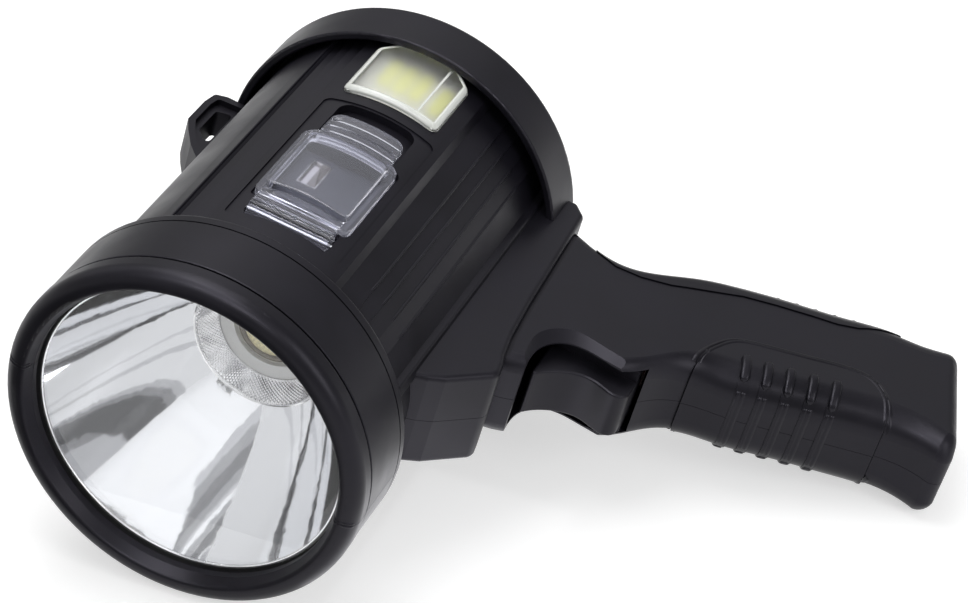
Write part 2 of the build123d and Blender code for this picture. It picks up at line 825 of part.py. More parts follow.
with BuildPart() as housing:
    add(outer.part)
    add(hollow.part, mode=Mode.SUBTRACT)
    add(grip_hollow.part, mode=Mode.SUBTRACT)
    add(side_slab(trigger_slot_outline, -slot_half, slot_half), mode=Mode.SUBTRACT)
    add(columns.part)
    add(pocket.part, mode=Mode.SUBTRACT)
    add(pad_bed.part, mode=Mode.SUBTRACT)
    add(strap_bed.part, mode=Mode.SUBTRACT)
    add(panel_cuts.part, mode=Mode.SUBTRACT)
    add(lens_pocket.part, mode=Mode.SUBTRACT)
    add(solar_pocket.part, mode=Mode.SUBTRACT)
    add(holes.part, mode=Mode.SUBTRACT)
    for turn in (1, -1):
        groove_floor = turn * (grip_half - neck_groove_cut)
        add(side_slab(neck_groove_outline, groove_floor, turn * far), mode=Mode.SUBTRACT)
    add(tenon_slot(lug_tenon_half + running_gap, running_gap), mode=Mode.SUBTRACT)
with BuildPart() as left_housing:
    add(housing.part)
    split(bisect_by=Plane.XY.offset(parting_gap / 2), keep=Keep.TOP)
with BuildPart() as right_housing:
    add(housing.part)
    split(bisect_by=Plane.XY.offset(-parting_gap / 2), keep=Keep.BOTTOM)
with BuildPart() as left_grip_pad:
    add(pad_whole.part)
    split(bisect_by=Plane.XY.offset(parting_gap / 2), keep=Keep.TOP)
with BuildPart() as right_grip_pad:
    add(pad_whole.part)
    split(bisect_by=Plane.XY.offset(-parting_gap / 2), keep=Keep.BOTTOM)

# Lens, gaskets and bowl
with BuildPart() as lens:
    add(tube(lens_radius, 0, lens_depth, lens_back))
with BuildPart() as lens_gasket:
    add(tube(lens_radius, gasket_inner_radius, lens_back, flange_front))
with BuildPart() as reflector_gasket:
    add(tube(lens_radius, back_gasket_inner_radius, flange_back, seat_end))


def bowl_radius(depth):
    """Inner radius of the bowl at a depth behind the ring's front."""
    return sqrt(bowl_focus_gain * (bowl_apex - depth))


bowl_pitch = (bowl_end - flange_front) / bowl_steps
bowl_depths = [flange_front + bowl_pitch * step for step in range(bowl_steps + 1)]
with BuildPart() as reflector:
    with BuildSketch(Plane.XY):
        with BuildLine():
            inner = Spline(*[(bowl_radius(depth), depth) for depth in bowl_depths])
            skin = Spline(*[(bowl_radius(depth) + bowl_wall, depth) for depth in reversed(bowl_depths)])
            Line(inner @ 1, skin @ 0)
            Line(skin @ 1, inner @ 0)
        make_face()
    revolve(axis=Axis.Y)
    add(tube(lens_radius, bowl_radius(flange_front) + bowl_wall / 2, flange_front, flange_back))
with BuildPart() as led_collar:
    with BuildSketch(Plane.XY):
        Polygon(
            (bowl_radius(bowl_end), bowl_end + seat_gap),
            (collar_throat_radius, collar_back),
            (collar_throat_radius, chip_back),
            (collar_foot_radius, chip_back),
            (bowl_radius(bowl_end) + collar_wall, bowl_end + seat_gap),
            align=None,
        )
    revolve(axis=Axis.Y)

# Lamp chip and what cools it
with BuildPart() as main_led:
    add(tube(chip_radius, chip_window_radius, collar_back, chip_back))
with BuildPart() as led_phosphor:
    add(tube(phosphor_radius, 0, chip_back - phosphor_thickness, chip_back))
with BuildPart() as led_dome:
    with BuildSketch(Plane.XY):
        with BuildLine():
            Line((0, chip_back - phosphor_thickness - seat_gap), (0, chip_back - dome_rise))
            ThreePointArc(
                (0, chip_back - dome_rise),
                (dome_radius * dome_shoulder_share, chip_back - dome_rise * dome_shoulder_rise_share),
                (dome_radius, chip_back),
            )
            Polyline(
                (dome_radius, chip_back),
                (phosphor_radius + seat_gap, chip_back),
                (phosphor_radius + seat_gap, chip_back - phosphor_thickness - seat_gap),
                (0, chip_back - phosphor_thickness - seat_gap),
            )
        make_face()
    revolve(axis=Axis.Y)
with BuildPart() as led_board:
    add(tube(led_board_radius, 0, chip_back, heat_front))
with BuildPart() as heat_sink:
    add(tube(heat_plate_radius, 0, heat_front, heat_back))
    with BuildSketch(across(heat_front)):
        Rectangle(2 * heat_arm_reach, 2 * heat_arm_half)
    extrude(amount=-heat_plate_thickness)
    for step in range(heat_fin_count):
        rise = (step - (heat_fin_count - 1) / 2) * heat_fin_gap
        with BuildSketch(across(heat_back)):
            with Locations((0, rise)):
                Rectangle(2 * sqrt(heat_fin_radius**2 - rise**2), heat_fin_thickness)
        extrude(amount=-heat_fin_length)
    for turn in (1, -1):
        for rise in (1, -1):
            with BuildSketch(across(heat_front)):
                with Locations((turn * sink_screw_reach, rise * sink_screw_height)):
                    Circle(small_shank + bore_gap)
            extrude(amount=-heat_plate_thickness, mode=Mode.SUBTRACT)
with BuildPart() as sink_screws:
    for turn in (1, -1):
        for rise in (1, -1):
            with BuildSketch(across(heat_front - small_head_height)):
                with Locations((turn * sink_screw_reach, rise * sink_screw_height)):
                    Circle(small_head)
            extrude(amount=-small_head_height)
            with BuildSketch(across(heat_front)):
                with Locations((turn * sink_screw_reach, rise * sink_screw_height)):
                    Circle(small_shank)
            extrude(amount=-(heat_plate_thickness + sink_screw_length))

# Strap lug
with BuildPart() as strap_lug:
    with BuildSketch(Plane.XY) as lug_side:
        Polygon(*lug_outline, align=None)
        fillet(lug_side.vertices().sort_by(Axis.X)[:-2], radius=lug_round)
    extrude(amount=lug_half, both=True)
    add(tube(crest_radius, 0, cavity_start, head_length), mode=Mode.SUBTRACT)
    for turn in (1, -1):
        add(side_slab(lug_recess_outline, turn * lug_web_half, turn * far, lug_round), mode=Mode.SUBTRACT)
    add(side_slab(lug_eye_outline, -far, far, lug_round), mode=Mode.SUBTRACT)
    add(tenon_slot(lug_tenon_half, 0))

# Port plate, socket and the board that carries it
def socket_frame(wide, long, low, high):
    """Upright oblong at the socket's centre."""
    with BuildPart() as frame:
        with BuildSketch(Plane.XY.offset(low)):
            with Locations(socket_centre):
                Rectangle(wide, long)
        extrude(amount=high - low)
    return frame.part


with BuildPart() as port_plate:
    add(box_slab(plate_half, (plate_span[0] + seat_gap, plate_span[1] - seat_gap),
                 plate_top - plate_thickness, plate_top))
    add(socket_frame(socket_wide + seat_gap, socket_long + seat_gap, 0, far), mode=Mode.SUBTRACT)
with BuildPart() as usb_socket:
    add(socket_frame(socket_wide, socket_long, mouth_top - socket_deep, mouth_top))
    add(socket_frame(socket_wide - 2 * socket_wall, socket_long - 2 * socket_wall,
                     mouth_top - socket_deep + socket_wall, far), mode=Mode.SUBTRACT)
with BuildPart() as usb_tongue:
    with BuildSketch(Plane.XY.offset(mouth_top - socket_deep + socket_wall)):
        with Locations((socket_centre[0] - tongue_shift, socket_centre[1])):
            Rectangle(tongue_wide, tongue_long)
    extrude(amount=socket_deep - socket_wall - tongue_drop)
with BuildPart() as charge_board:
    add(box_slab(charge_board_half, charge_board_span, board_top - board_thickness, board_top))
    for place in charge_screw_places:
        add(rod(place, small_shank + bore_gap, 0, far), mode=Mode.SUBTRACT)
with BuildPart() as charge_screws:
    for place in charge_screw_places:
        board_foot = board_top - board_thickness
        add(rod(place, small_head, board_foot - small_head_height, board_foot))
        add(rod(place, small_shank, board_foot, board_top + board_screw_reach))

# Flip cover and its pin
with BuildPart() as cover_window:
    add(on_panel(window_half, window_span, flange_low_radius, window_top_radius, window_clip))
    fillet(cover_window.faces().sort_by_distance(Vector(0, window_span[0], far))[0].edges(),
           radius=window_edge_round)
window_room = (window_span[0] + window_wall, window_span[1] - window_wall)
with BuildPart() as port_cover:
    add(cross_rod(cover_pin_depth, cover_pin_height, cover_roll_radius, cover_half))
    with BuildSketch(Plane.YZ.offset(-cover_half)):
        with Locations(((strip_span[0] + strip_span[1]) / 2, (strip_bottom + strip_top) / 2)):
            Rectangle(strip_span[1] - strip_span[0], strip_top - strip_bottom)
    extrude(amount=2 * cover_half)
    add(on_panel(flange_half, flange_span, flange_low_radius, flange_top_radius, flange_clip))
    add(cover_window.part)
    add(on_panel(tab_half, tab_span, flange_low_radius, tab_top_radius, tab_round))
    add(on_panel(window_half - window_wall, window_room, cover_pin_height - overrun,
                 window_top_radius - window_wall, window_clip - window_wall), mode=Mode.SUBTRACT)
    for depth in strip_lines:
        add(cross_rod(depth, strip_top, strip_line_radius, far), mode=Mode.SUBTRACT)
    for turn in roll_notches:
        add(cross_rod(cover_pin_depth - cover_roll_radius * cos(radians(turn)),
                      cover_pin_height + cover_roll_radius * sin(radians(turn)), roll_notch_radius, far),
            mode=Mode.SUBTRACT)
    for depth in tab_lines:
        line_floor = tab_top_radius - tab_line_cut
        add(tube(far, line_floor, depth - tab_line_cut, depth + tab_line_cut), mode=Mode.SUBTRACT)
    pin_room = cross_rod(cover_pin_depth, cover_pin_height, cover_pin_radius + running_gap, far)
    add(pin_room, mode=Mode.SUBTRACT)
with BuildPart() as port_cover_pin:
    add(cross_rod(cover_pin_depth, cover_pin_height, cover_pin_radius, cover_pin_half))

# Side lamp
with BuildPart() as side_lens:
    add(lens_face(0, 0))
    extrude(amount=far)
    add(tube(side_lens_top_radius, side_lens_low_radius, cavity_start, cavity_end), mode=Mode.INTERSECT)
    crown = side_lens.faces().sort_by_distance(Vector(0, side_chip_places[0][1], far))[0]
    chamfer(crown.edges(), length=side_lens_bevel)
with BuildPart() as lens_room:
    add(lens_face(side_lens_wall, 0))
    extrude(amount=far)
    add(tube(side_lens_top_radius - side_lens_wall, 0, cavity_start, cavity_end), mode=Mode.INTERSECT)
with BuildPart() as side_lens_shell:
    add(side_lens.part)
    add(lens_room.part, mode=Mode.SUBTRACT)
with BuildPart() as side_board:
    add(lens_face(side_board_inset, side_board_height))
    extrude(amount=board_thickness)
    for place in side_screw_places:
        add(rod(place, small_shank + bore_gap, 0, far), mode=Mode.SUBTRACT)
side_board_top = side_board_height + board_thickness
with BuildPart() as side_led_chips:
    with BuildSketch(Plane.XY.offset(side_board_top)):
        with Locations(*side_chip_places):
            Rectangle(*side_chip_size)
    extrude(amount=side_chip_height)

# Solar cells and their window on the right side
solar_long = solar_span[1] - solar_span[0]
with BuildPart() as solar_cell_panel:
    with BuildSketch(Plane.XY.offset(-solar_floor - solar_cell_thickness)):
        with Locations((0, (solar_span[0] + solar_span[1]) / 2)):
            RectangleRounded(2 * solar_half, solar_long, solar_corner)
    extrude(amount=solar_cell_thickness)
with BuildPart() as solar_window:
    with BuildSketch(Plane.XY.offset(-far)):
        with Locations((0, (solar_span[0] + solar_span[1]) / 2)):
            RectangleRounded(2 * solar_half, solar_long, solar_corner)
    extrude(amount=far - solar_floor - solar_cell_thickness)
    add(tube(solar_window_radius, 0, cavity_start, cavity_end), mode=Mode.INTERSECT)

# Driver board in the head
main_top = main_board_height + board_thickness
with BuildPart() as main_board:
    add(box_slab(main_board_half, main_board_span, main_board_height, main_top))
    for place in main_posts:
        add(rod(place, small_shank + bore_gap, -far, far), mode=Mode.SUBTRACT)
with BuildPart() as drive_coil:
    add(rod(coil_place, coil_radius, main_top, main_top + coil_height))
    add(rod(coil_place, coil_bore_radius, main_top + board_thickness, far), mode=Mode.SUBTRACT)
with BuildPart() as board_screws:
    for place in main_posts:
        add(rod(place, small_head, main_top, main_top + small_head_height))
        add(rod(place, small_shank, main_board_height - board_screw_reach, main_top))
    for place in side_screw_places:
        add(rod(place, small_head, side_board_top, side_board_top + small_head_height))
        add(rod(place, small_shank, side_board_height - side_screw_length, side_board_top))

# Trigger, its pin, spring and switch
with BuildPart() as trigger:
    with BuildSketch(Plane.XY) as trigger_side:
        with BuildLine():
            face_line = Spline(*trigger_face)
            Polyline(face_line @ 1, *trigger_back, face_line @ 0)
        make_face()
        fillet([nearest(trigger_side, *end, 0) for end in (trigger_face[0], trigger_face[-1])],
               radius=trigger_end_round)
    extrude(amount=trigger_half, both=True)
    lips = trigger.edges().filter_by(Axis.Z, reverse=True)
    front_lips = lips.filter_by(lambda edge: edge.center().Y < trigger_face[-1][1] + overrun)
    fillet(front_lips, radius=trigger_edge_round)
    add(side_slab(skirt_outline, -skirt_half, skirt_half))
    add(rod(pivot, pivot_boss_radius, -skirt_half, skirt_half))
    add(side_slab(trigger_hollow_outline, -trigger_hollow_half, trigger_hollow_half), mode=Mode.SUBTRACT)
    add(side_slab(plunger_outline, -plunger_half, plunger_half))
    add(side_slab(spring_slot_outline, -spring_slot_half, spring_slot_half), mode=Mode.SUBTRACT)
    add(rod(pivot, spring_radius + spring_wire, -spring_slot_half, spring_slot_half), mode=Mode.SUBTRACT)
    add(rod(pivot, trigger_pin_radius + running_gap, -far, far), mode=Mode.SUBTRACT)
with BuildPart() as trigger_pin:
    add(rod(pivot, trigger_pin_radius, -trigger_pin_half, trigger_pin_half))
with BuildPart() as trigger_spring:
    with BuildLine(Plane(origin=(*pivot, -spring_turns * spring_pitch / 2))) as coil:
        Helix(pitch=spring_pitch, height=spring_turns * spring_pitch, radius=spring_radius)
    with BuildSketch(Plane(origin=coil.line @ 0, z_dir=coil.line % 0)):
        Circle(spring_wire / 2)
    sweep()
with BuildPart() as trigger_switch:
    add(side_slab(switch_outline, -switch_half, switch_half))
    add(side_slab(button_outline, -button_half, button_half))

# Cells and their cradle, in a frame along the handle
cell_axis = Plane(origin=(cell_start, cell_front, 0), x_dir=(0, 0, 1),
                  z_dir=(cos(radians(cell_rake)), sin(radians(cell_rake)), 0))
with BuildPart() as battery_front:
    with BuildSketch(cell_axis):
        Circle(cell_radius)
    extrude(amount=cell_length)
with BuildPart() as battery_rear:
    with BuildSketch(cell_axis):
        with Locations((0, -cell_spread)):
            Circle(cell_radius)
    extrude(amount=cell_length)
cradle_skin = grip_loft(-grip_wall - cradle_gap)
with BuildPart() as battery_cradle:
    for start in (-cradle_plate, cell_length):
        with BuildSketch(cell_axis.offset(start)):
            Rectangle(far, 2 * far)
        extrude(amount=cradle_plate)
    add(cradle_skin, mode=Mode.INTERSECT)
    with BuildSketch(cell_axis):
        with Locations((-web_height, -cell_spread / 2)):
            Rectangle(web_width, web_depth)
    extrude(amount=cell_length)

# Rear cover and the screws
with BuildPart() as rear_cover:
    add(tube(rear_cover_radius, 0, head_length - rear_cover_thickness, head_length))
    with BuildSketch(across(head_length - rear_cover_thickness)):
        with PolarLocations(rear_screw_circle, rear_screw_count, start_angle=rear_screw_turn):
            Circle(screw_shank + bore_gap)
    extrude(amount=-rear_cover_thickness, mode=Mode.SUBTRACT)
    with BuildSketch(across(head_length - screw_head_height)):
        with PolarLocations(rear_screw_circle, rear_screw_count, start_angle=rear_screw_turn):
            Circle(screw_head + bore_gap)
    extrude(amount=-screw_head_height, mode=Mode.SUBTRACT)
with BuildPart() as rear_cover_screws:
    with BuildSketch(across(head_length - screw_head_height)):
        with PolarLocations(rear_screw_circle, rear_screw_count, start_angle=rear_screw_turn):
            Circle(screw_head)
    extrude(amount=-(screw_head_height - running_gap))
    with BuildSketch(across(cavity_end + overrun)):
        with PolarLocations(rear_screw_circle, rear_screw_count, start_angle=rear_screw_turn):
            Circle(screw_shank)
    extrude(amount=-(head_length - screw_head_height - cavity_end - overrun))
with BuildPart() as housing_screws:
    for place, seat in zip(long_screw_places, long_screw_seats):
        add(rod(place, screw_head, -seat - screw_head_height, -seat))
        add(rod(place, screw_shank, -seat, long_screw_reach))

# Lean onto the right side: the front ring, the hood and the handle's end touch the floor
corner = grip_stations[-2][4]
lean = degrees(asin((ring_radius - corner) / hypot(grip_half - corner, butt_top[0] - corner))
               - atan2(grip_half - corner, butt_top[0] - corner))
for step in range(lean_steps):
    low = grip.part.rotate(Axis.Y, lean).bounding_box().min.Z
    lean -= degrees((-ring_radius - low) / butt_top[0])
pieces = {
    "left_housing": left_housing,
    "right_housing": right_housing,
    "lens": lens,
    "lens_gasket": lens_gasket,
    "reflector_gasket": reflector_gasket,
    "reflector": reflector,
    "led_collar": led_collar,
    "main_led": main_led,
    "led_phosphor": led_phosphor,
    "led_dome": led_dome,
    "led_board": led_board,
    "heat_sink": heat_sink,
    "sink_screws": sink_screws,
    "strap_lug": strap_lug,
    "port_plate": port_plate,
    "usb_socket": usb_socket,
    "usb_tongue": usb_tongue,
    "charge_board": charge_board,
    "charge_screws": charge_screws,
    "port_cover": port_cover,
    "port_cover_pin": port_cover_pin,
    "side_lens": side_lens_shell,
    "side_board": side_board,
    "side_led_chips": side_led_chips,
    "solar_cell_panel": solar_cell_panel,
    "solar_window": solar_window,
    "main_board": main_board,
    "drive_coil": drive_coil,
    "board_screws": board_screws,
    "trigger": trigger,
    "trigger_pin": trigger_pin,
    "trigger_spring": trigger_spring,
    "trigger_switch": trigger_switch,
    "left_grip_pad": left_grip_pad,
    "right_grip_pad": right_grip_pad,
    "backstrap": backstrap,
    "battery_front": battery_front,
    "battery_rear": battery_rear,
    "battery_cradle": battery_cradle,
    "rear_cover": rear_cover,
    "rear_cover_screws": rear_cover_screws,
    "housing_screws": housing_screws,
}
outermost = ("right_housing", "strap_lug", "left_housing", "right_grip_pad", "backstrap")
boxes = [pieces[name].part.rotate(Axis.Y, lean).bounding_box() for name in outermost]
centre_x = (min(box.min.X for box in boxes) + max(box.max.X for box in boxes)) / 2
centre_y = (min(box.min.Y for box in boxes) + max(box.max.Y for box in boxes)) / 2
rest = Location((-centre_x, -centre_y, ring_radius), (0, lean, 0))
print("lean", lean, "centre", centre_x, centre_y)
for name, piece in pieces.items():
    with BuildPart() as placed:
        add(piece.part.moved(rest))
    placed.part.label = name
    export_step(placed.part, f"parts/{name}.step")
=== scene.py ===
import math

import bmesh
import bpy
from mathutils import Matrix, Vector
from mathutils.bvhtree import BVHTree


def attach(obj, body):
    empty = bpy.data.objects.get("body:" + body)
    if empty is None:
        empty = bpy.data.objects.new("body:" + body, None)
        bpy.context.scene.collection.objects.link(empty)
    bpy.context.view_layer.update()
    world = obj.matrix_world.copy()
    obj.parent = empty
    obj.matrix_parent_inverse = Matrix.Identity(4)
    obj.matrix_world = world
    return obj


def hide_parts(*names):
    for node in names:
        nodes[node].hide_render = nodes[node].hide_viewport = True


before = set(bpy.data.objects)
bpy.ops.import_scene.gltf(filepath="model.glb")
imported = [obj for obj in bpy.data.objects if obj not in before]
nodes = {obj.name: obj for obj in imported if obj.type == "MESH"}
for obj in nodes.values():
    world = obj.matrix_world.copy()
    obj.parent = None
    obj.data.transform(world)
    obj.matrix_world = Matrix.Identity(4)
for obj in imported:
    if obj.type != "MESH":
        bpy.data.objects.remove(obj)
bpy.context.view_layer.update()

# The lamp's own frame has x towards the handle, y to the back and z to its left side, in millimetres
LEAN = math.radians(12.417501)
CENTRE = (75.219357, 104.491231)
RING_RADIUS = 65.5
MM = 0.001


def turned(vector):
    """A direction of the lamp's own frame, in the row frame."""
    x, y, z = vector
    return Vector((x * math.cos(LEAN) + z * math.sin(LEAN), y, z * math.cos(LEAN) - x * math.sin(LEAN)))


def placed(x, y, z):
    """A point of the lamp's own frame, in the row frame, in metres."""
    p = turned((x, y, z))
    return Vector(((p.x - CENTRE[0]) * MM, (p.y - CENTRE[1]) * MM, (p.z + RING_RADIUS) * MM))


# Camera
RIGHT = (0.890859, 0.382654, 0.244839)
DOWN = (0.424720, -0.510330, -0.747781)
AHEAD = (-0.161192, 0.770155, -0.617153)
EYE = (244.0024, -769.5167, 726.2325)
FOCAL_PIXELS = 3289.426
IMAGE_WIDTH = 968.0
SENSOR_MM = 36.0
CLIP_NEAR = 0.05
CLIP_FAR = 50.0

camera_data = bpy.data.cameras.new("camera")
camera_data.sensor_width = SENSOR_MM
camera_data.lens = FOCAL_PIXELS * SENSOR_MM / IMAGE_WIDTH
camera_data.clip_start = CLIP_NEAR
camera_data.clip_end = CLIP_FAR
camera = bpy.data.objects.new("camera", camera_data)
bpy.context.scene.collection.objects.link(camera)
axes = Matrix((turned(RIGHT), -turned(DOWN), -turned(AHEAD))).transposed()
camera.matrix_world = Matrix.Translation(placed(*EYE)) @ axes.to_4x4()
bpy.context.scene.camera = camera
bpy.context.scene.view_settings.view_transform = "Standard"


# Surfaces
GRAIN_DETAIL = 3.0
PATCH_DETAIL = 5.0
BRUSH_DETAIL = 2.0
BRUSH_DEPTH = 0.000006
WAVE_DETAIL = 1.0
TRACK_DETAIL = 2.0
TRACK_DEPTH = 0.00003
TRACK_EDGES = (0.45, 0.55)
PATCH_EDGES = (0.35, 0.65)
METAL_PATCHES = 120.0
METAL_SHADE = 0.12
MOULDED_SPREAD = 0.05
LEAST_ROUGHNESS = 0.02


def material(name, color, roughness, metallic=0.0, **inputs):
    """A new surface with its plain values set on the shader."""
    mat = bpy.data.materials.new(name)
    mat.use_nodes = True
    shader = mat.node_tree.nodes["Principled BSDF"]
    shader.inputs["Base Color"].default_value = (*color, 1.0)
    shader.inputs["Roughness"].default_value = roughness
    shader.inputs["Metallic"].default_value = metallic
    for key, value in inputs.items():
        shader.inputs[key.replace("_", " ")].default_value = value
    return mat


def noise(mat, scale, detail, stretch=(1.0, 1.0, 1.0)):
    """Noise fixed to the piece, at so many features to the metre."""
    tree = mat.node_tree
    coords = tree.nodes.new("ShaderNodeTexCoord")
    mapping = tree.nodes.new("ShaderNodeMapping")
    mapping.inputs["Scale"].default_value = stretch
    texture = tree.nodes.new("ShaderNodeTexNoise")
    texture.inputs["Scale"].default_value = scale
    texture.inputs["Detail"].default_value = detail
    tree.links.new(coords.outputs["Object"], mapping.inputs["Vector"])
    tree.links.new(mapping.outputs["Vector"], texture.inputs["Vector"])
    return texture.outputs["Fac"]


def remap(mat, value, low, high, edges=PATCH_EDGES):
    """The value between its two edges, drawn out to run from low to high."""
    tree = mat.node_tree
    ramp = tree.nodes.new("ShaderNodeMapRange")
    ramp.inputs["From Min"].default_value = edges[0]
    ramp.inputs["From Max"].default_value = edges[1]
    ramp.inputs["To Min"].default_value = low
    ramp.inputs["To Max"].default_value = high
    tree.links.new(value, ramp.inputs["Value"])
    return ramp.outputs["Result"]


def blended(mat, value, low_color, high_color):
    """A colour between two, by a value from 0 to 1."""
    tree = mat.node_tree
    mix = tree.nodes.new("ShaderNodeMix")
    mix.data_type = "RGBA"
    mix.inputs["A"].default_value = (*low_color, 1.0)
    mix.inputs["B"].default_value = (*high_color, 1.0)
    tree.links.new(value, mix.inputs["Factor"])
    return mix.outputs["Result"]


def bumped(mat, value, depth):
    """Gives the surface a relief of that depth, over any relief it has."""
    tree = mat.node_tree
    shader = tree.nodes["Principled BSDF"]
    bump = tree.nodes.new("ShaderNodeBump")
    bump.inputs["Distance"].default_value = depth
    if shader.inputs["Normal"].is_linked:
        tree.links.new(shader.inputs["Normal"].links[0].from_socket, bump.inputs["Normal"])
    tree.links.new(value, bump.inputs["Height"])
    tree.links.new(bump.outputs["Normal"], shader.inputs["Normal"])


def mottled(mat, scale, shade, spread):
    """Soft patches where the surface is paler and duller, as handled plastic and metal are."""
    tree = mat.node_tree
    shader = tree.nodes["Principled BSDF"]
    color = shader.inputs["Base Color"].default_value[:3]
    rough = shader.inputs["Roughness"].default_value
    patches = noise(mat, scale, PATCH_DETAIL)
    dark = tuple(c * (1.0 - shade) for c in color)
    pale = tuple(min(1.0, c * (1.0 + shade)) for c in color)
    tint = blended(mat, remap(mat, patches, 0.0, 1.0), dark, pale)
    tree.links.new(tint, shader.inputs["Base Color"])
    rough_map = remap(mat, patches, max(LEAST_ROUGHNESS, rough - spread), rough + spread)
    tree.links.new(rough_map, shader.inputs["Roughness"])


def moulded(name, color, roughness, grain, depth, patches=45.0, shade=0.2, **inputs):
    """Moulded plastic or rubber with an even fine grain."""
    mat = material(name, color, roughness, **inputs)
    mottled(mat, patches, shade, MOULDED_SPREAD)
    bumped(mat, noise(mat, grain, GRAIN_DETAIL), depth)
    return mat


def lets_light_in(mat, tint):
    """Lamps shine through the clear material on what is behind it."""
    tree = mat.node_tree
    shader = tree.nodes["Principled BSDF"]
    output = tree.nodes["Material Output"]
    path = tree.nodes.new("ShaderNodeLightPath")
    either = tree.nodes.new("ShaderNodeMath")
    either.operation = "MAXIMUM"
    tree.links.new(path.outputs["Is Shadow Ray"], either.inputs[0])
    tree.links.new(path.outputs["Is Diffuse Ray"], either.inputs[1])
    open_shader = tree.nodes.new("ShaderNodeBsdfTransparent")
    open_shader.inputs["Color"].default_value = (*tint, 1.0)
    mix = tree.nodes.new("ShaderNodeMixShader")
    tree.links.new(either.outputs["Value"], mix.inputs["Fac"])
    tree.links.new(shader.outputs["BSDF"], mix.inputs[1])
    tree.links.new(open_shader.outputs["BSDF"], mix.inputs[2])
    tree.links.new(mix.outputs["Shader"], output.inputs["Surface"])


def glassy(name, color, roughness, ior, tint, waves=60.0, depth=0.00001):
    """Clear plastic or glass, very slightly wavy."""
    mat = material(name, color, roughness, Transmission_Weight=1.0, IOR=ior)
    bumped(mat, noise(mat, waves, WAVE_DETAIL), depth)
    lets_light_in(mat, tint)
    return mat


def metal(name, color, roughness, brushing, stretch=(1.0, 1.0, 1.0), spread=0.08):
    """Bare metal with fine brushing and duller patches."""
    mat = material(name, color, roughness, 1.0)
    mottled(mat, METAL_PATCHES, METAL_SHADE, spread)
    bumped(mat, noise(mat, brushing, BRUSH_DETAIL, stretch), BRUSH_DEPTH)
    return mat


BLACK = (0.0058, 0.0054, 0.0082)
SHEEN = {"Specular_IOR_Level": 0.26, "Specular_Tint": (0.9, 0.87, 1.0, 1.0)}
housing = moulded("housing_black", BLACK, 0.4, 1500.0, 0.000012, **SHEEN)
lug_black = moulded("lug_black", BLACK, 0.46, 1700.0, 0.000012, **SHEEN)
trigger_black = moulded("trigger_black", (0.0056, 0.0053, 0.0075), 0.4, 1500.0, 0.00001, **SHEEN)
rear_black = moulded("rear_black", (0.0062, 0.0059, 0.0085), 0.45, 1300.0, 0.000014, **SHEEN)
grip_rubber = moulded("grip_rubber", (0.0052, 0.0049, 0.0072), 0.33, 1900.0, 0.000014, **SHEEN)
seal_rubber = moulded("seal_rubber", (0.012, 0.012, 0.012), 0.6, 1100.0, 0.00002)
cradle = moulded("cradle_plastic", (0.03, 0.03, 0.033), 0.5, 900.0, 0.00002)
switch_plastic = moulded("switch_plastic", (0.05, 0.012, 0.01), 0.4, 900.0, 0.00001)
port_grey = moulded("port_grey", (0.05, 0.054, 0.066), 0.42, 1200.0, 0.000012, shade=0.1)
tongue_white = moulded("tongue_white", (0.8, 0.78, 0.74), 0.4, 1200.0, 0.000006, shade=0.05)

bowl_mirror = material("bowl_mirror", (0.93, 0.935, 0.95), 0.045, 1.0)
bumped(bowl_mirror, noise(bowl_mirror, 26.0, 1.5), 0.00006)
bumped(bowl_mirror, noise(bowl_mirror, 700.0, 2.0), 0.0000012)
rim_mirror = metal("rim_mirror", (0.93, 0.93, 0.95), 0.2, 900.0, spread=0.04)
collar_mirror = metal("collar_mirror", (0.8, 0.8, 0.81), 0.1, 900.0, spread=0.03)
steel = metal("screw_steel", (0.36, 0.36, 0.38), 0.34, 700.0)
pin_steel = metal("pin_steel", (0.62, 0.62, 0.64), 0.22, 900.0, (1.0, 8.0, 8.0))
spring_steel = metal("spring_steel", (0.5, 0.5, 0.52), 0.28, 1200.0)
sink_metal = metal("sink_metal", (0.7, 0.71, 0.73), 0.38, 500.0, (1.0, 1.0, 14.0))
socket_steel = metal("socket_steel", (0.75, 0.73, 0.7), 0.2, 900.0, (1.0, 9.0, 1.0))
coil_copper = metal("coil_copper", (0.72, 0.33, 0.16), 0.28, 2600.0, (1.0, 1.0, 9.0))

lens_glass = glassy("lens_glass", (0.99, 0.995, 1.0), 0.0, 1.49, (0.97, 0.97, 0.97), 30.0, 0.00001)
cover_clear = glassy("cover_clear", (0.84, 0.85, 0.93), 0.1, 1.33, (0.84, 0.84, 0.89), 220.0, 0.000008)
COVER_CLARITY = 0.95
cover_clear.node_tree.nodes["Principled BSDF"].inputs["Transmission Weight"].default_value = COVER_CLARITY
dome_clear = glassy("dome_clear", (1.0, 0.99, 0.95), 0.02, 1.45, (0.96, 0.95, 0.92), 90.0)
solar_glass = glassy("solar_glass", (0.96, 0.98, 1.0), 0.02, 1.5, (0.95, 0.95, 0.97), 50.0)
lens_frosted = glassy("lens_frosted", (0.97, 0.98, 0.97), 0.42, 1.4, (0.93, 0.93, 0.92), 500.0, 0.00003)

led_white = moulded("led_white", (0.82, 0.82, 0.8), 0.35, 900.0, 0.000008, shade=0.04)
board_white = moulded("board_white", (0.78, 0.78, 0.75), 0.4, 1100.0, 0.00001, shade=0.05)
led_yellow = moulded("led_yellow", (0.92, 0.93, 0.26), 0.5, 2400.0, 0.00002, 600.0, 0.1)
# Side lens rim and fold: partly their own frosted colour, partly painted light, pale in place of the glow
# along the lens's edges
frosted_rim_painted_glow = moulded("frosted_rim_painted_glow", (0.74, 0.76, 0.72), 0.25, 900.0, 0.000006, shade=0.06)
led_cream = moulded("led_cream", (0.78, 0.72, 0.42), 0.4, 2400.0, 0.00004, 900.0, 0.2)


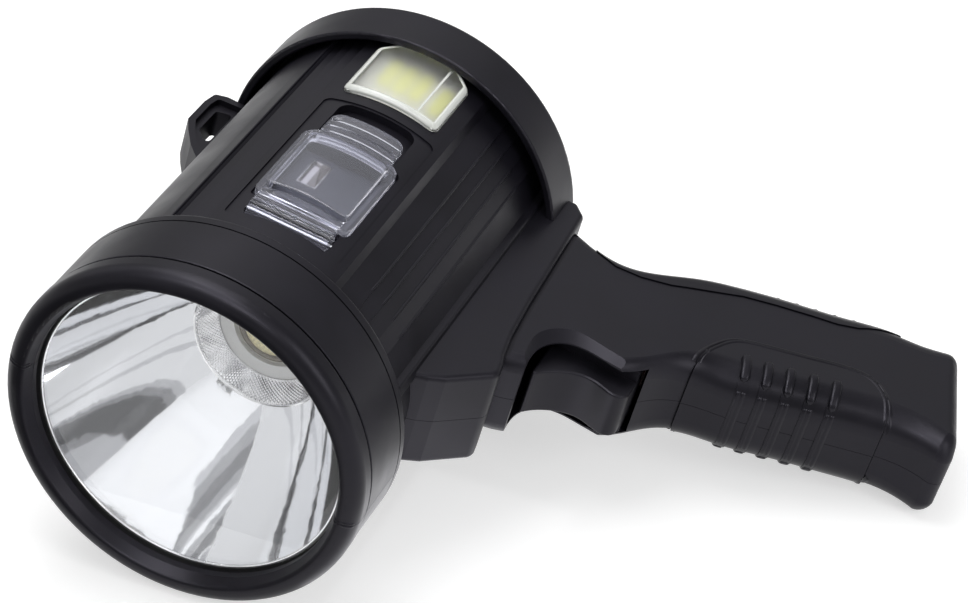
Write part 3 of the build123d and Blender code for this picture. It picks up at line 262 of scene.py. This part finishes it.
def banded(name, low_color, high_color, roughness, scale, distortion):
    """A surface of two colours in fine wandering bands, such as tracks on a board."""
    mat = material(name, low_color, roughness)
    tree = mat.node_tree
    coords = tree.nodes.new("ShaderNodeTexCoord")
    wave = tree.nodes.new("ShaderNodeTexWave")
    wave.inputs["Scale"].default_value = scale
    wave.inputs["Distortion"].default_value = distortion
    wave.inputs["Detail"].default_value = TRACK_DETAIL
    tree.links.new(coords.outputs["Object"], wave.inputs["Vector"])
    mask = remap(mat, wave.outputs["Fac"], 0.0, 1.0, TRACK_EDGES)
    tint = blended(mat, mask, low_color, high_color)
    tree.links.new(tint, tree.nodes["Principled BSDF"].inputs["Base Color"])
    bumped(mat, mask, TRACK_DEPTH)
    return mat


board_green = banded("board_green", (0.012, 0.09, 0.035), (0.03, 0.17, 0.06), 0.35, 130.0, 6.0)
solar_cells = banded("solar_cells", (0.006, 0.01, 0.032), (0.012, 0.02, 0.06), 0.25, 300.0, 1.5)
cell_wrap = moulded("cell_wrap", (0.03, 0.11, 0.3), 0.3, 400.0, 0.00002)


def paint(mat, *names):
    """Gives a surface to CAD nodes."""
    for name in names:
        mesh = nodes[name].data
        mesh.materials.clear()
        mesh.materials.append(mat)


paint(housing, "left_housing", "right_housing")
paint(lug_black, "strap_lug")
paint(trigger_black, "trigger")
paint(rear_black, "rear_cover")
paint(grip_rubber, "left_grip_pad", "right_grip_pad", "backstrap")
paint(seal_rubber, "lens_gasket", "reflector_gasket")
paint(cradle, "battery_cradle")
paint(switch_plastic, "trigger_switch")
paint(port_grey, "port_plate")
paint(tongue_white, "usb_tongue")
paint(bowl_mirror, "reflector")
paint(steel, "sink_screws", "charge_screws", "board_screws", "rear_cover_screws", "housing_screws")
paint(pin_steel, "port_cover_pin", "trigger_pin")
paint(spring_steel, "trigger_spring")
paint(sink_metal, "heat_sink")
paint(socket_steel, "usb_socket")
paint(coil_copper, "drive_coil")
paint(lens_glass, "lens")
paint(cover_clear, "port_cover")
paint(dome_clear, "led_dome")
paint(solar_glass, "solar_window")
paint(lens_frosted, "side_lens")
paint(led_white, "main_led")
paint(board_white, "led_board", "side_board")
paint(led_yellow, "side_led_chips")
paint(led_cream, "led_phosphor")
paint(board_green, "charge_board", "main_board")
paint(solar_cells, "solar_cell_panel")
paint(cell_wrap, "battery_front", "battery_rear")


# Shapes that the looks add
def piece(name, verts, faces, mat, body="lamp_body", slot=None, smooth=True):
    """A mesh made of points in the lamp's own frame, riding on a body."""
    mesh = bpy.data.meshes.new(name)
    mesh.from_pydata([placed(*v) for v in verts], [], faces)
    mesh.materials.append(mat)
    made = bmesh.new()
    made.from_mesh(mesh)
    bmesh.ops.recalc_face_normals(made, faces=made.faces)
    made.to_mesh(mesh)
    made.free()
    if smooth:
        mesh.shade_smooth()
    obj = bpy.data.objects.new(name, mesh)
    bpy.context.scene.collection.objects.link(obj)
    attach(obj, body)
    return obj


def turned_ring(name, profile, mat, steps, relief=None, **options):
    """A closed profile of (radius, y) turned round the lamp's axis, with relief added to each radius."""
    count = len(profile)
    verts = []
    for i in range(steps):
        angle = 2.0 * math.pi * i / steps
        for j, (radius, y) in enumerate(profile):
            raised = radius + (relief(i, j) if relief else 0.0)
            verts.append((raised * math.cos(angle), y, raised * math.sin(angle)))
    faces = []
    for i in range(steps):
        after = (i + 1) % steps
        for j in range(count):
            beside = (j + 1) % count
            faces.append((i * count + j, i * count + beside, after * count + beside, after * count + j))
    return piece(name, verts, faces, mat, **options)


# Knurled collar round the lamp chip, the bead at the bowl's mouth and the ring round the chip
COLLAR_FRONT = (25.6, 64.9)
COLLAR_LIP = (26.3, 64.6)
COLLAR_THROAT = (19.7, 72.5)
COLLAR_THICKNESS = 1.6
KNURL_COLUMNS = 96
KNURL_ROWS = 8
KNURL_STEPS = 6
KNURL_HEIGHT = 0.6
BOWL_MOUTH = (55.25, 10.35)
BOWL_BEAD_RADIUS = 0.55
BOWL_BEAD_SIDES = 12
BOWL_STEPS = 360
WELL_PROFILE = [(9.4, 73.52), (9.8, 73.3), (12.5, 73.0), (12.9, 73.1), (12.9, 73.52)]
WELL_STEPS = 180


def knurl_profile():
    """The collar's section: down its knurled face, and back up behind it."""
    rows = KNURL_ROWS * KNURL_STEPS
    face = []
    for row in range(rows + 1):
        share = row / rows
        face.append((COLLAR_FRONT[0] + (COLLAR_THROAT[0] - COLLAR_FRONT[0]) * share,
                     COLLAR_FRONT[1] + (COLLAR_THROAT[1] - COLLAR_FRONT[1]) * share))
    return face + [(COLLAR_THROAT[0] + COLLAR_THICKNESS, COLLAR_THROAT[1]),
                   (COLLAR_LIP[0], COLLAR_LIP[1] + COLLAR_THICKNESS), COLLAR_LIP]


def knurl(step, row):
    """Height of the crossed ridges at a step round and a row down the collar's face."""
    rows = KNURL_ROWS * KNURL_STEPS
    if row > rows:
        return 0.0
    around = step / KNURL_STEPS
    down = row / KNURL_STEPS
    one = abs((around + down) % 1.0 - 0.5)
    other = abs((around - down) % 1.0 - 0.5)
    edge = min(1.0, row / KNURL_STEPS, (rows - row) / KNURL_STEPS)
    return -KNURL_HEIGHT * edge * (0.5 - max(one, other)) * 2.0


bowl_bead = []
for step in range(BOWL_BEAD_SIDES):
    angle = math.radians(360.0 / BOWL_BEAD_SIDES * step)
    bowl_bead.append((BOWL_MOUTH[0] + BOWL_BEAD_RADIUS * math.cos(angle),
                      BOWL_MOUTH[1] + BOWL_BEAD_RADIUS * math.sin(angle)))
turned_ring("bowl_rim", bowl_bead, rim_mirror, BOWL_STEPS, slot="bowl_mirror")
collar = turned_ring("knurled_collar", knurl_profile(), collar_mirror, KNURL_COLUMNS * KNURL_STEPS, knurl,
                     slot="collar_mirror", smooth=False)
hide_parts("led_collar")
led_well = moulded("led_well", (0.2, 0.17, 0.13), 0.4, 1500.0, 0.00002, 500.0, 0.25)
turned_ring("led_well", WELL_PROFILE, led_well, WELL_STEPS, slot="led_yellow")


# Relief that lies on the carried-over surfaces
CUT = 0.25
END_SINK = 0.05
NUB_ROWS = 18
NUB_COLUMNS = 12
NUB_SINK = 0.06
NUB_EDGE_POWER = 4
NUB_ROUNDING = 0.6


def surface_of(*names):
    """What a straight line finds first on those nodes, searched in the lamp's own frame."""
    verts = []
    faces = []
    for name in names:
        mesh = nodes[name].data
        world = nodes[name].matrix_world
        base = len(verts)
        verts.extend(own(world @ v.co) for v in mesh.vertices)
        faces.extend([base + i for i in polygon.vertices] for polygon in mesh.polygons)
    return BVHTree.FromPolygons(verts, faces)


def own(point):
    """A row point in metres, in the lamp's own frame in millimetres."""
    x, y, z = point.x / MM + CENTRE[0], point.y / MM + CENTRE[1], point.z / MM - RING_RADIUS
    return Vector((x * math.cos(LEAN) - z * math.sin(LEAN), y, z * math.cos(LEAN) + x * math.sin(LEAN)))


def dropped(tree, point, toward):
    """Where a line from that point meets the surface, and the surface's outward direction there."""
    place, normal, _, _ = tree.ray_cast(Vector(point), Vector(toward))
    if place is None:
        return None
    if normal.dot(Vector(toward)) > 0.0:
        normal = -normal
    return place, normal


def grid_faces(rows, columns, closed=False):
    """Faces of a grid of points held row by row."""
    faces = []
    for i in range(rows if closed else rows - 1):
        after = (i + 1) % rows
        for j in range(columns - 1):
            faces.append((i * columns + j, i * columns + j + 1, after * columns + j + 1, after * columns + j))
    return faces


def smoothed(points, rounds, closed):
    """The corners of a path cut off again and again."""
    for _ in range(rounds):
        drawn = []
        count = len(points)
        for i in range(count if closed else count - 1):
            a, b = Vector(points[i]), Vector(points[(i + 1) % count])
            drawn.append(tuple(a.lerp(b, CUT)))
            drawn.append(tuple(a.lerp(b, 1.0 - CUT)))
        points = drawn if closed else [points[0]] + drawn + [points[-1]]
    return points


def bead(name, tree, path, toward, section, mat, slot=None, closed=False, front=None):
    """A moulded line on the surface below a path, of (offset, height) sections, kept behind y = front."""
    verts = []
    rows = 0
    count = len(path)
    direction = Vector(toward)
    for i, point in enumerate(path):
        before = Vector(path[i - 1] if closed or i else path[0])
        after = Vector(path[(i + 1) % count] if closed or i < count - 1 else path[-1])
        along = (after - before).normalized()
        across = direction.cross(along).normalized()
        held = dropped(tree, point, toward)
        if held is None:
            continue
        normal = held[1]
        ends = not closed and i in (0, count - 1)
        for offset, height in section:
            spot = dropped(tree, Vector(point) + across * offset, toward)
            foot, rise = spot if spot else (held[0] + across * offset, normal)
            raised = foot + rise * (-END_SINK if ends else height)
            if front is not None:
                raised.y = max(raised.y, front)
            verts.append(tuple(raised))
        rows += 1
    piece(name, verts, grid_faces(rows, len(section), closed), mat, slot=slot)


def nub_points(tree, top, foot, half, height, toward):
    """Points and faces of a raised rounded bar on the surface below two points."""
    start, end = Vector(top), Vector(foot)
    along = (end - start).normalized()
    across = Vector(toward).cross(along).normalized()
    length = (end - start).length
    verts = []
    for i in range(NUB_ROWS + 1):
        run = -half + (length + 2.0 * half) * i / NUB_ROWS
        over = max(0.0, -run, run - length) / half
        wide = half * math.sqrt(max(0.0, 1.0 - over * over))
        for j in range(NUB_COLUMNS + 1):
            side = 2.0 * j / NUB_COLUMNS - 1.0
            place = start + along * run + across * (side * wide)
            found = dropped(tree, place, toward)
            if found is None:
                return None
            fall = max(0.0, 1.0 - side ** NUB_EDGE_POWER) * max(0.0, 1.0 - over ** NUB_EDGE_POWER)
            verts.append(tuple(found[0] + found[1] * (height * fall ** NUB_ROUNDING - NUB_SINK)))
    return verts, grid_faces(NUB_ROWS + 1, NUB_COLUMNS + 1)


def joined(name, parts, mat, **options):
    """One piece from several sets of points and faces."""
    verts = []
    faces = []
    for some_verts, some_faces in parts:
        faces.extend(tuple(len(verts) + i for i in face) for face in some_faces)
        verts.extend(some_verts)
    piece(name, verts, faces, mat, **options)


# Raised edge and finger bars on each rubber pad
PAD_PATH = [(133.4, 137.0), (133.4, 140.0), (134.8, 145.2), (138.9, 153.6), (143.5, 157.7), (152.7, 160.8),
            (166.5, 165.0), (180.4, 169.3), (190.5, 169.6), (197.6, 163.2), (201.9, 154.6), (203.6, 151.8)]
RIB_TOPS = [(148.3, 147.8), (156.3, 149.6), (164.2, 151.8), (172.3, 154.0), (180.5, 156.2)]
RIB_FEET = [(153.0, 134.0), (160.7, 135.1), (168.4, 137.9), (176.7, 139.5), (184.1, 142.9)]
PAD_SECTION = [(-1.9, -0.06), (-1.2, 0.22), (-0.55, 0.34), (0.0, -0.04), (0.55, 0.34), (1.2, 0.22),
               (1.9, -0.06)]
PAD_ROUNDS = 3
NUB_HALF = 1.9
NUB_LENGTH = 7.2
NUB_HEIGHTS = {"left": 1.3, "right": 0.6}
BESIDE_HANDLE = 60.0
handle_skin = surface_of("left_housing", "right_housing", "left_grip_pad", "right_grip_pad")
for side, turn in (("left", 1.0), ("right", -1.0)):
    start_z = BESIDE_HANDLE * turn
    toward = (0.0, 0.0, -turn)
    path = [(x, y, start_z) for x, y in PAD_PATH]
    bead(side + "_pad_edge", handle_skin, smoothed(path, PAD_ROUNDS, False), toward, PAD_SECTION, grip_rubber,
         slot="grip_rubber")
    nubs = []
    for top, foot in zip(RIB_TOPS, RIB_FEET):
        a, b = Vector((*top, start_z)), Vector((*foot, start_z))
        b = a + (b - a).normalized() * NUB_LENGTH
        found = nub_points(handle_skin, a, b, NUB_HALF, NUB_HEIGHTS[side], toward)
        if found:
            nubs.append(found)
    joined(side + "_pad_nubs", nubs, grip_rubber, slot="grip_rubber")


# Finger grooves with raised lips round the front of the pads
GROOVE_SECTION = [(-1.8, -0.06), (-1.1, 0.3), (-0.5, 0.42), (0.0, -0.1), (0.5, 0.42), (1.1, 0.3),
                  (1.8, -0.06)]
GROOVE_HALF = 12.6
BEFORE_PADS = 40.0
CROSS_STEPS = 20


def cross_path(x, y, half):
    """Even points across the handle, from its right side to its left."""
    return [(x, y, half * (k - CROSS_STEPS) / CROSS_STEPS) for k in range(2 * CROSS_STEPS + 1)]


for number, (top, foot) in enumerate(zip(RIB_TOPS, RIB_FEET)):
    back = (Vector(top) - Vector(foot)).normalized()
    start = Vector(foot) - back * BEFORE_PADS
    path = cross_path(start.x, start.y, GROOVE_HALF)
    bead("finger_groove_%d" % number, handle_skin, path, (back.x, back.y, 0.0), GROOVE_SECTION, grip_rubber,
         slot="grip_rubber")


# Cross ridges on the rubber along the handle's back
BACK_RIDGES = (146.0, 153.0, 160.0, 167.0, 174.0)
RIDGE_SECTION = [(-1.5, -0.05), (-0.9, 0.35), (0.0, 0.62), (0.9, 0.35), (1.5, -0.05)]
RIDGE_HALF = 15.0
BEHIND_HANDLE = 240.0
back_skin = surface_of("backstrap")
for number, x in enumerate(BACK_RIDGES):
    bead("back_ridge_%d" % number, back_skin, cross_path(x, BEHIND_HANDLE, RIDGE_HALF), (0.0, -1.0, 0.0),
         RIDGE_SECTION, grip_rubber, slot="grip_rubber")


# Rounded rails along the barrel, by angle from the left side's middle and by where they end
RAIL_START = 58.5
RAILS = [(150.4, 160.0), (146.6, 164.0), (142.8, 166.0),
         (36.0, 166.0), (42.2, 166.0), (48.8, 166.0), (55.6, 166.0)]
RAIL_STEPS = 36
OUTSIDE_BARREL = 64.0
RAIL_SECTION = [(-0.6, -0.04), (-0.4, 0.3), (0.0, 0.5), (0.4, 0.3), (0.6, -0.04)]
barrel_skin = surface_of("left_housing", "right_housing")
for number, (turn, end) in enumerate(RAILS):
    angle = math.radians(90.0 - turn)
    out = Vector((math.cos(angle), 0.0, math.sin(angle)))
    path = []
    for k in range(RAIL_STEPS + 1):
        y = RAIL_START + (end - RAIL_START) * k / RAIL_STEPS
        path.append(tuple(out * OUTSIDE_BARREL + Vector((0.0, y, 0.0))))
    bead("barrel_rail_%d" % number, barrel_skin, path, tuple(-out), RAIL_SECTION, housing,
         slot="housing_shell")


# Raised lips at each side of the parting line across the ring's front
SEAM_LIP = [(-0.5, -0.04), (-0.25, 0.2), (0.0, 0.28), (0.25, 0.2), (0.5, -0.04)]
SEAM_START = 57.0
SEAM_PITCH = 0.4
SEAM_POINTS = 20
SEAM_OFFSET = 0.65
BEFORE_RING = -10.0
for end, x_turn in (("top", -1.0), ("bottom", 1.0)):
    for half, z_turn in (("left", 1.0), ("right", -1.0)):
        z = z_turn * SEAM_OFFSET
        path = [(x_turn * (SEAM_START + SEAM_PITCH * k), BEFORE_RING, z) for k in range(SEAM_POINTS)]
        bead("ring_seam_%s_%s" % (end, half), barrel_skin, path, (0.0, 1.0, 0.0), SEAM_LIP, housing,
             slot="housing_shell", front=0.0)


# Side lamp's lens: raised rim and the fold on its face, painted pale: the rim's frosting is real, but its
# whiteness is partly painted light for the glow along the lens's edges, and the fold's pale line is a painted
# highlight
SIDE_LENS_OUTLINE = [(-18.5, 139.2), (18.5, 139.2), (18.5, 169.6),
                     (11.4, 175.6), (-11.4, 175.6), (-18.5, 169.6)]
RIM_INSET = 1.2
RIM_PITCH = 0.8
RIM_CORNER = 2.6
RIM_ROUNDS = 2
RIM_SECTION = [(-1.05, -0.3), (-0.9, 0.2), (-0.5, 0.42), (0.0, 0.48), (0.5, 0.42), (0.9, 0.2), (1.05, -0.3)]
FOLD_X = 9.6
FOLD_START = 141.0
FOLD_POINTS = 34
FOLD_SECTION = [(-0.45, -0.05), (-0.2, 0.12), (0.0, 0.16), (0.2, 0.12), (0.45, -0.05)]
BESIDE_LENS = 90.0


def inset(outline, distance):
    """The outline drawn in by that much on every side."""
    count = len(outline)
    middle = sum((Vector(p) for p in outline), Vector((0.0, 0.0))) / count
    lines = []
    for i in range(count):
        a, b = Vector(outline[i]), Vector(outline[(i + 1) % count])
        normal = Vector((a.y - b.y, b.x - a.x)).normalized()
        if normal.dot(middle - a) < 0.0:
            normal = -normal
        lines.append((a + normal * distance, b + normal * distance))
    return [meeting(lines[i - 1], lines[i]) for i in range(count)]


def meeting(first, second):
    """Where two endless lines in a plane meet."""
    (a, b), (c, d) = first, second
    one, other = b - a, d - c
    share = (c - a).cross(other) / one.cross(other)
    return a + one * share


def along_outline(points, pitch, corner):
    """Even points round an outline with its corners rounded."""
    count = len(points)
    rounded = []
    for i in range(count):
        here, before, after = points[i], points[i - 1], points[(i + 1) % count]
        rounded.append(here + (before - here).normalized() * corner)
        rounded.append(here)
        rounded.append(here + (after - here).normalized() * corner)
    closed = smoothed([(p.x, p.y, 0.0) for p in rounded], RIM_ROUNDS, True)
    filled = []
    for i in range(len(closed)):
        a, b = Vector(closed[i]), Vector(closed[(i + 1) % len(closed)])
        steps = max(1, round((b - a).length / pitch))
        filled.extend(tuple(a.lerp(b, k / steps)) for k in range(steps))
    return filled


lens_skin = surface_of("side_lens")
rim_line = along_outline(inset(SIDE_LENS_OUTLINE, RIM_INSET), RIM_PITCH, RIM_CORNER)
bead("side_lens_rim", lens_skin, [(point[0], point[1], BESIDE_LENS) for point in rim_line], (0.0, 0.0, -1.0),
     RIM_SECTION, frosted_rim_painted_glow, slot="lens_frosted", closed=True)
fold_path = [(FOLD_X, FOLD_START + step, BESIDE_LENS) for step in range(FOLD_POINTS)]
bead("side_lens_fold", lens_skin, fold_path, (0.0, 0.0, -1.0), FOLD_SECTION, frosted_rim_painted_glow, slot="lens_frosted")


# Floor, lamps and sky
def backdrop_white(mat, glow):
    """What the camera, metal and glass see is raised to white, and still keeps shadows."""
    tree = mat.node_tree
    output = tree.nodes["Material Output"]
    shader = tree.nodes["Principled BSDF"]
    path = tree.nodes.new("ShaderNodeLightPath")
    either = tree.nodes.new("ShaderNodeMath")
    either.operation = "MAXIMUM"
    every = tree.nodes.new("ShaderNodeMath")
    every.operation = "MAXIMUM"
    tree.links.new(path.outputs["Is Camera Ray"], either.inputs[0])
    tree.links.new(path.outputs["Is Glossy Ray"], either.inputs[1])
    tree.links.new(either.outputs["Value"], every.inputs[0])
    tree.links.new(path.outputs["Is Transmission Ray"], every.inputs[1])
    scaled = tree.nodes.new("ShaderNodeMath")
    scaled.operation = "MULTIPLY"
    scaled.inputs[1].default_value = glow
    tree.links.new(every.outputs["Value"], scaled.inputs[0])
    emission = tree.nodes.new("ShaderNodeEmission")
    tree.links.new(scaled.outputs["Value"], emission.inputs["Strength"])
    added = tree.nodes.new("ShaderNodeAddShader")
    tree.links.new(shader.outputs["BSDF"], added.inputs[0])
    tree.links.new(emission.outputs["Emission"], added.inputs[1])
    tree.links.new(added.outputs["Shader"], output.inputs["Surface"])


FLOOR_SIZE = 4.0
FLOOR_DROP = 0.0004
FLOOR_GREY = (0.62, 0.62, 0.62)
FLOOR_ROUGHNESS = 0.8
FLOOR_GLOW = 0.56
FLOOR_SIGNS = ((-1, -1), (1, -1), (1, 1), (-1, 1))
floor_mesh = bpy.data.meshes.new("floor")
floor_corners = [(a * FLOOR_SIZE, b * FLOOR_SIZE, -FLOOR_DROP) for a, b in FLOOR_SIGNS]
floor_mesh.from_pydata(floor_corners, [], [(0, 1, 2, 3)])
floor = bpy.data.objects.new("floor", floor_mesh)
bpy.context.scene.collection.objects.link(floor)
floor_white = material("floor_white", FLOOR_GREY, FLOOR_ROUGHNESS)
backdrop_white(floor_white, FLOOR_GLOW)
floor_mesh.materials.append(floor_white)

SKY_LIGHT = 0.5
SKY_GLOSS = 0.42
SKY_IN_GLASS = 0.85
SKY_SEEN = 1.0
world = bpy.data.worlds.new("sky")
bpy.context.scene.world = world
world.use_nodes = True
sky = world.node_tree
background = sky.nodes["Background"]
background.inputs["Color"].default_value = (1.0, 1.0, 1.0, 1.0)
sky_path = sky.nodes.new("ShaderNodeLightPath")
sky_strength = None
sky_rays = (("Is Glossy Ray", SKY_GLOSS), ("Is Transmission Ray", SKY_IN_GLASS), ("Is Camera Ray", SKY_SEEN))
for ray, strength in sky_rays:
    chosen = sky.nodes.new("ShaderNodeMix")
    chosen.data_type = "FLOAT"
    chosen.inputs["A"].default_value = SKY_LIGHT
    chosen.inputs["B"].default_value = strength
    if sky_strength:
        sky.links.new(sky_strength, chosen.inputs["A"])
    sky.links.new(sky_path.outputs[ray], chosen.inputs["Factor"])
    sky_strength = chosen.outputs["Result"]
sky.links.new(sky_strength, background.inputs["Strength"])


AIM = Vector((0.0, 0.0, 0.06))
CARD_TINT = 0.98
FLOOR_CARD_HEIGHT = 0.001
WEDGE_LIFT = 0.0002
WEDGE_NEAR = 0.17
WEDGE_FAR = 2.2
ARCH_ROWS = 10
ARCH_STEP = 9.5
LENS_SPOT = (-0.075, -0.09)


def lamp(name, place, size, power):
    """A soft area lamp aimed at the object."""
    data = bpy.data.lights.new(name, "AREA")
    data.shape = "RECTANGLE"
    data.size, data.size_y = size
    data.energy = power
    light = bpy.data.objects.new(name, data)
    light.location = place
    light.rotation_mode = "QUATERNION"
    light.rotation_quaternion = (AIM - Vector(place)).to_track_quat("-Z", "Y")
    bpy.context.scene.collection.objects.link(light)


lamp("lamp_top", (-0.3, 0.2, 1.3), (0.9, 0.9), 9.0)
lamp("lamp_right", (1.2, -0.5, 0.8), (0.6, 0.9), 6.0)


def card(name, corners, tone, seen_in, faces=((0, 1, 2, 3),)):
    """A studio card of one grey beyond the picture's edge, for gloss or for what lies behind glass."""
    mesh = bpy.data.meshes.new(name)
    mesh.from_pydata(corners, [], faces)
    mat = bpy.data.materials.new(name)
    mat.use_nodes = True
    tree = mat.node_tree
    glow = tree.nodes.new("ShaderNodeEmission")
    glow.inputs["Color"].default_value = (tone * CARD_TINT, tone * CARD_TINT, tone, 1.0)
    tree.links.new(glow.outputs["Emission"], tree.nodes["Material Output"].inputs["Surface"])
    mesh.materials.append(mat)
    obj = bpy.data.objects.new(name, mesh)
    bpy.context.scene.collection.objects.link(obj)
    obj.visible_camera = False
    obj.visible_diffuse = False
    obj.visible_shadow = False
    obj.visible_glossy = seen_in == "gloss"
    obj.visible_transmission = seen_in == "glass"


def facing_card(name, middle, size, tone):
    """A card of that width and height that faces the object, seen in gloss."""
    out = (AIM - Vector(middle)).normalized()
    wide = out.cross(Vector((0.0, 0.0, 1.0))).normalized() * (size[0] / 2.0)
    tall = wide.normalized().cross(out) * (size[1] / 2.0)
    centre = Vector(middle)
    left, right = centre - wide, centre + wide
    card(name, [left - tall, right - tall, right + tall, left + tall], tone, "gloss")


def floor_card(name, x_span, y_span, tone):
    """A card that lies just over the floor, seen in gloss."""
    (x0, x1), (y0, y1) = x_span, y_span
    corners = [(x, y, FLOOR_CARD_HEIGHT) for x, y in ((x0, y0), (x1, y0), (x1, y1), (x0, y1))]
    card(name, corners, tone, "gloss")


def from_lens(turn, ahead, height):
    """A point at an angle from straight ahead of the lens, so far ahead along the floor and so high."""
    angle = math.radians(turn)
    return LENS_SPOT[0] + ahead * math.sin(angle), LENS_SPOT[1] - ahead * math.cos(angle), height


def wedge_card(name, turn, spread, tone, height):
    """A wedge on the floor that widens away from the lens, seen through glass."""
    low, high = turn - spread, turn + spread
    ends = ((low, WEDGE_NEAR), (high, WEDGE_NEAR), (high, WEDGE_FAR), (low, WEDGE_FAR))
    card(name, [from_lens(angle, ahead, height) for angle, ahead in ends], tone, "glass")


def arch_card(name, turn, spread, tone, reach):
    """A strip of a dome that rises from the floor to overhead, seen through glass."""
    points = []
    for k in range(ARCH_ROWS):
        rise = math.radians(ARCH_STEP * k)
        for angle in (turn - spread, turn + spread):
            points.append(from_lens(angle, reach * math.cos(rise), reach * math.sin(rise)))
    faces = [(2 * k, 2 * k + 1, 2 * k + 3, 2 * k + 2) for k in range(ARCH_ROWS - 1)]
    card(name, points, tone, "glass", faces)


facing_card("softbox_back", (-0.4, 2.1, 1.9), (2.6, 1.7), 0.8)
facing_card("softbox_front", (-0.2, -1.3, 1.45), (1.3, 0.3), 14.0)
facing_card("softbox_left", (-1.5, 0.1, 1.0), (0.8, 1.0), 1.3)
facing_card("softbox_top", (-0.2, -0.4, 1.6), (0.9, 0.3), 11.0)
floor_card("card_near", (-0.6, -0.05), (-0.7, -0.13), 0.12)
floor_card("card_behind", (-0.03, 0.03), (-0.11, 0.0), 2.0)
WEDGES = [(27.0, 12.0, 0.74), (29.0, 8.5, 0.5), (30.0, 3.5, 0.32),
          (43.0, 1.4, 0.55), (47.0, 2.4, 0.3), (52.0, 2.0, 0.55), (57.0, 2.5, 0.3), (63.0, 3.0, 0.5),
          (-64.0, 2.5, 0.5), (-71.0, 3.0, 0.4), (-78.0, 3.0, 0.5)]
ARCHES = [("arch_a", -38.0, 17.0, 0.55, 2.4), ("arch_b", -36.0, 12.0, 0.3, 2.35),
          ("arch_f", -33.0, 6.0, 0.13, 2.3), ("arch_c", -2.0, 2.5, 0.62, 2.25),
          ("arch_d", -90.0, 6.0, 0.4, 2.25), ("arch_e", 14.0, 2.0, 0.7, 2.25)]
for arch in ARCHES:
    arch_card(*arch)
for number, (turn, spread, tone) in enumerate(WEDGES):
    wedge_card("wedge_%d" % number, turn, spread, tone, FLOOR_CARD_HEIGHT + WEDGE_LIFT * number)
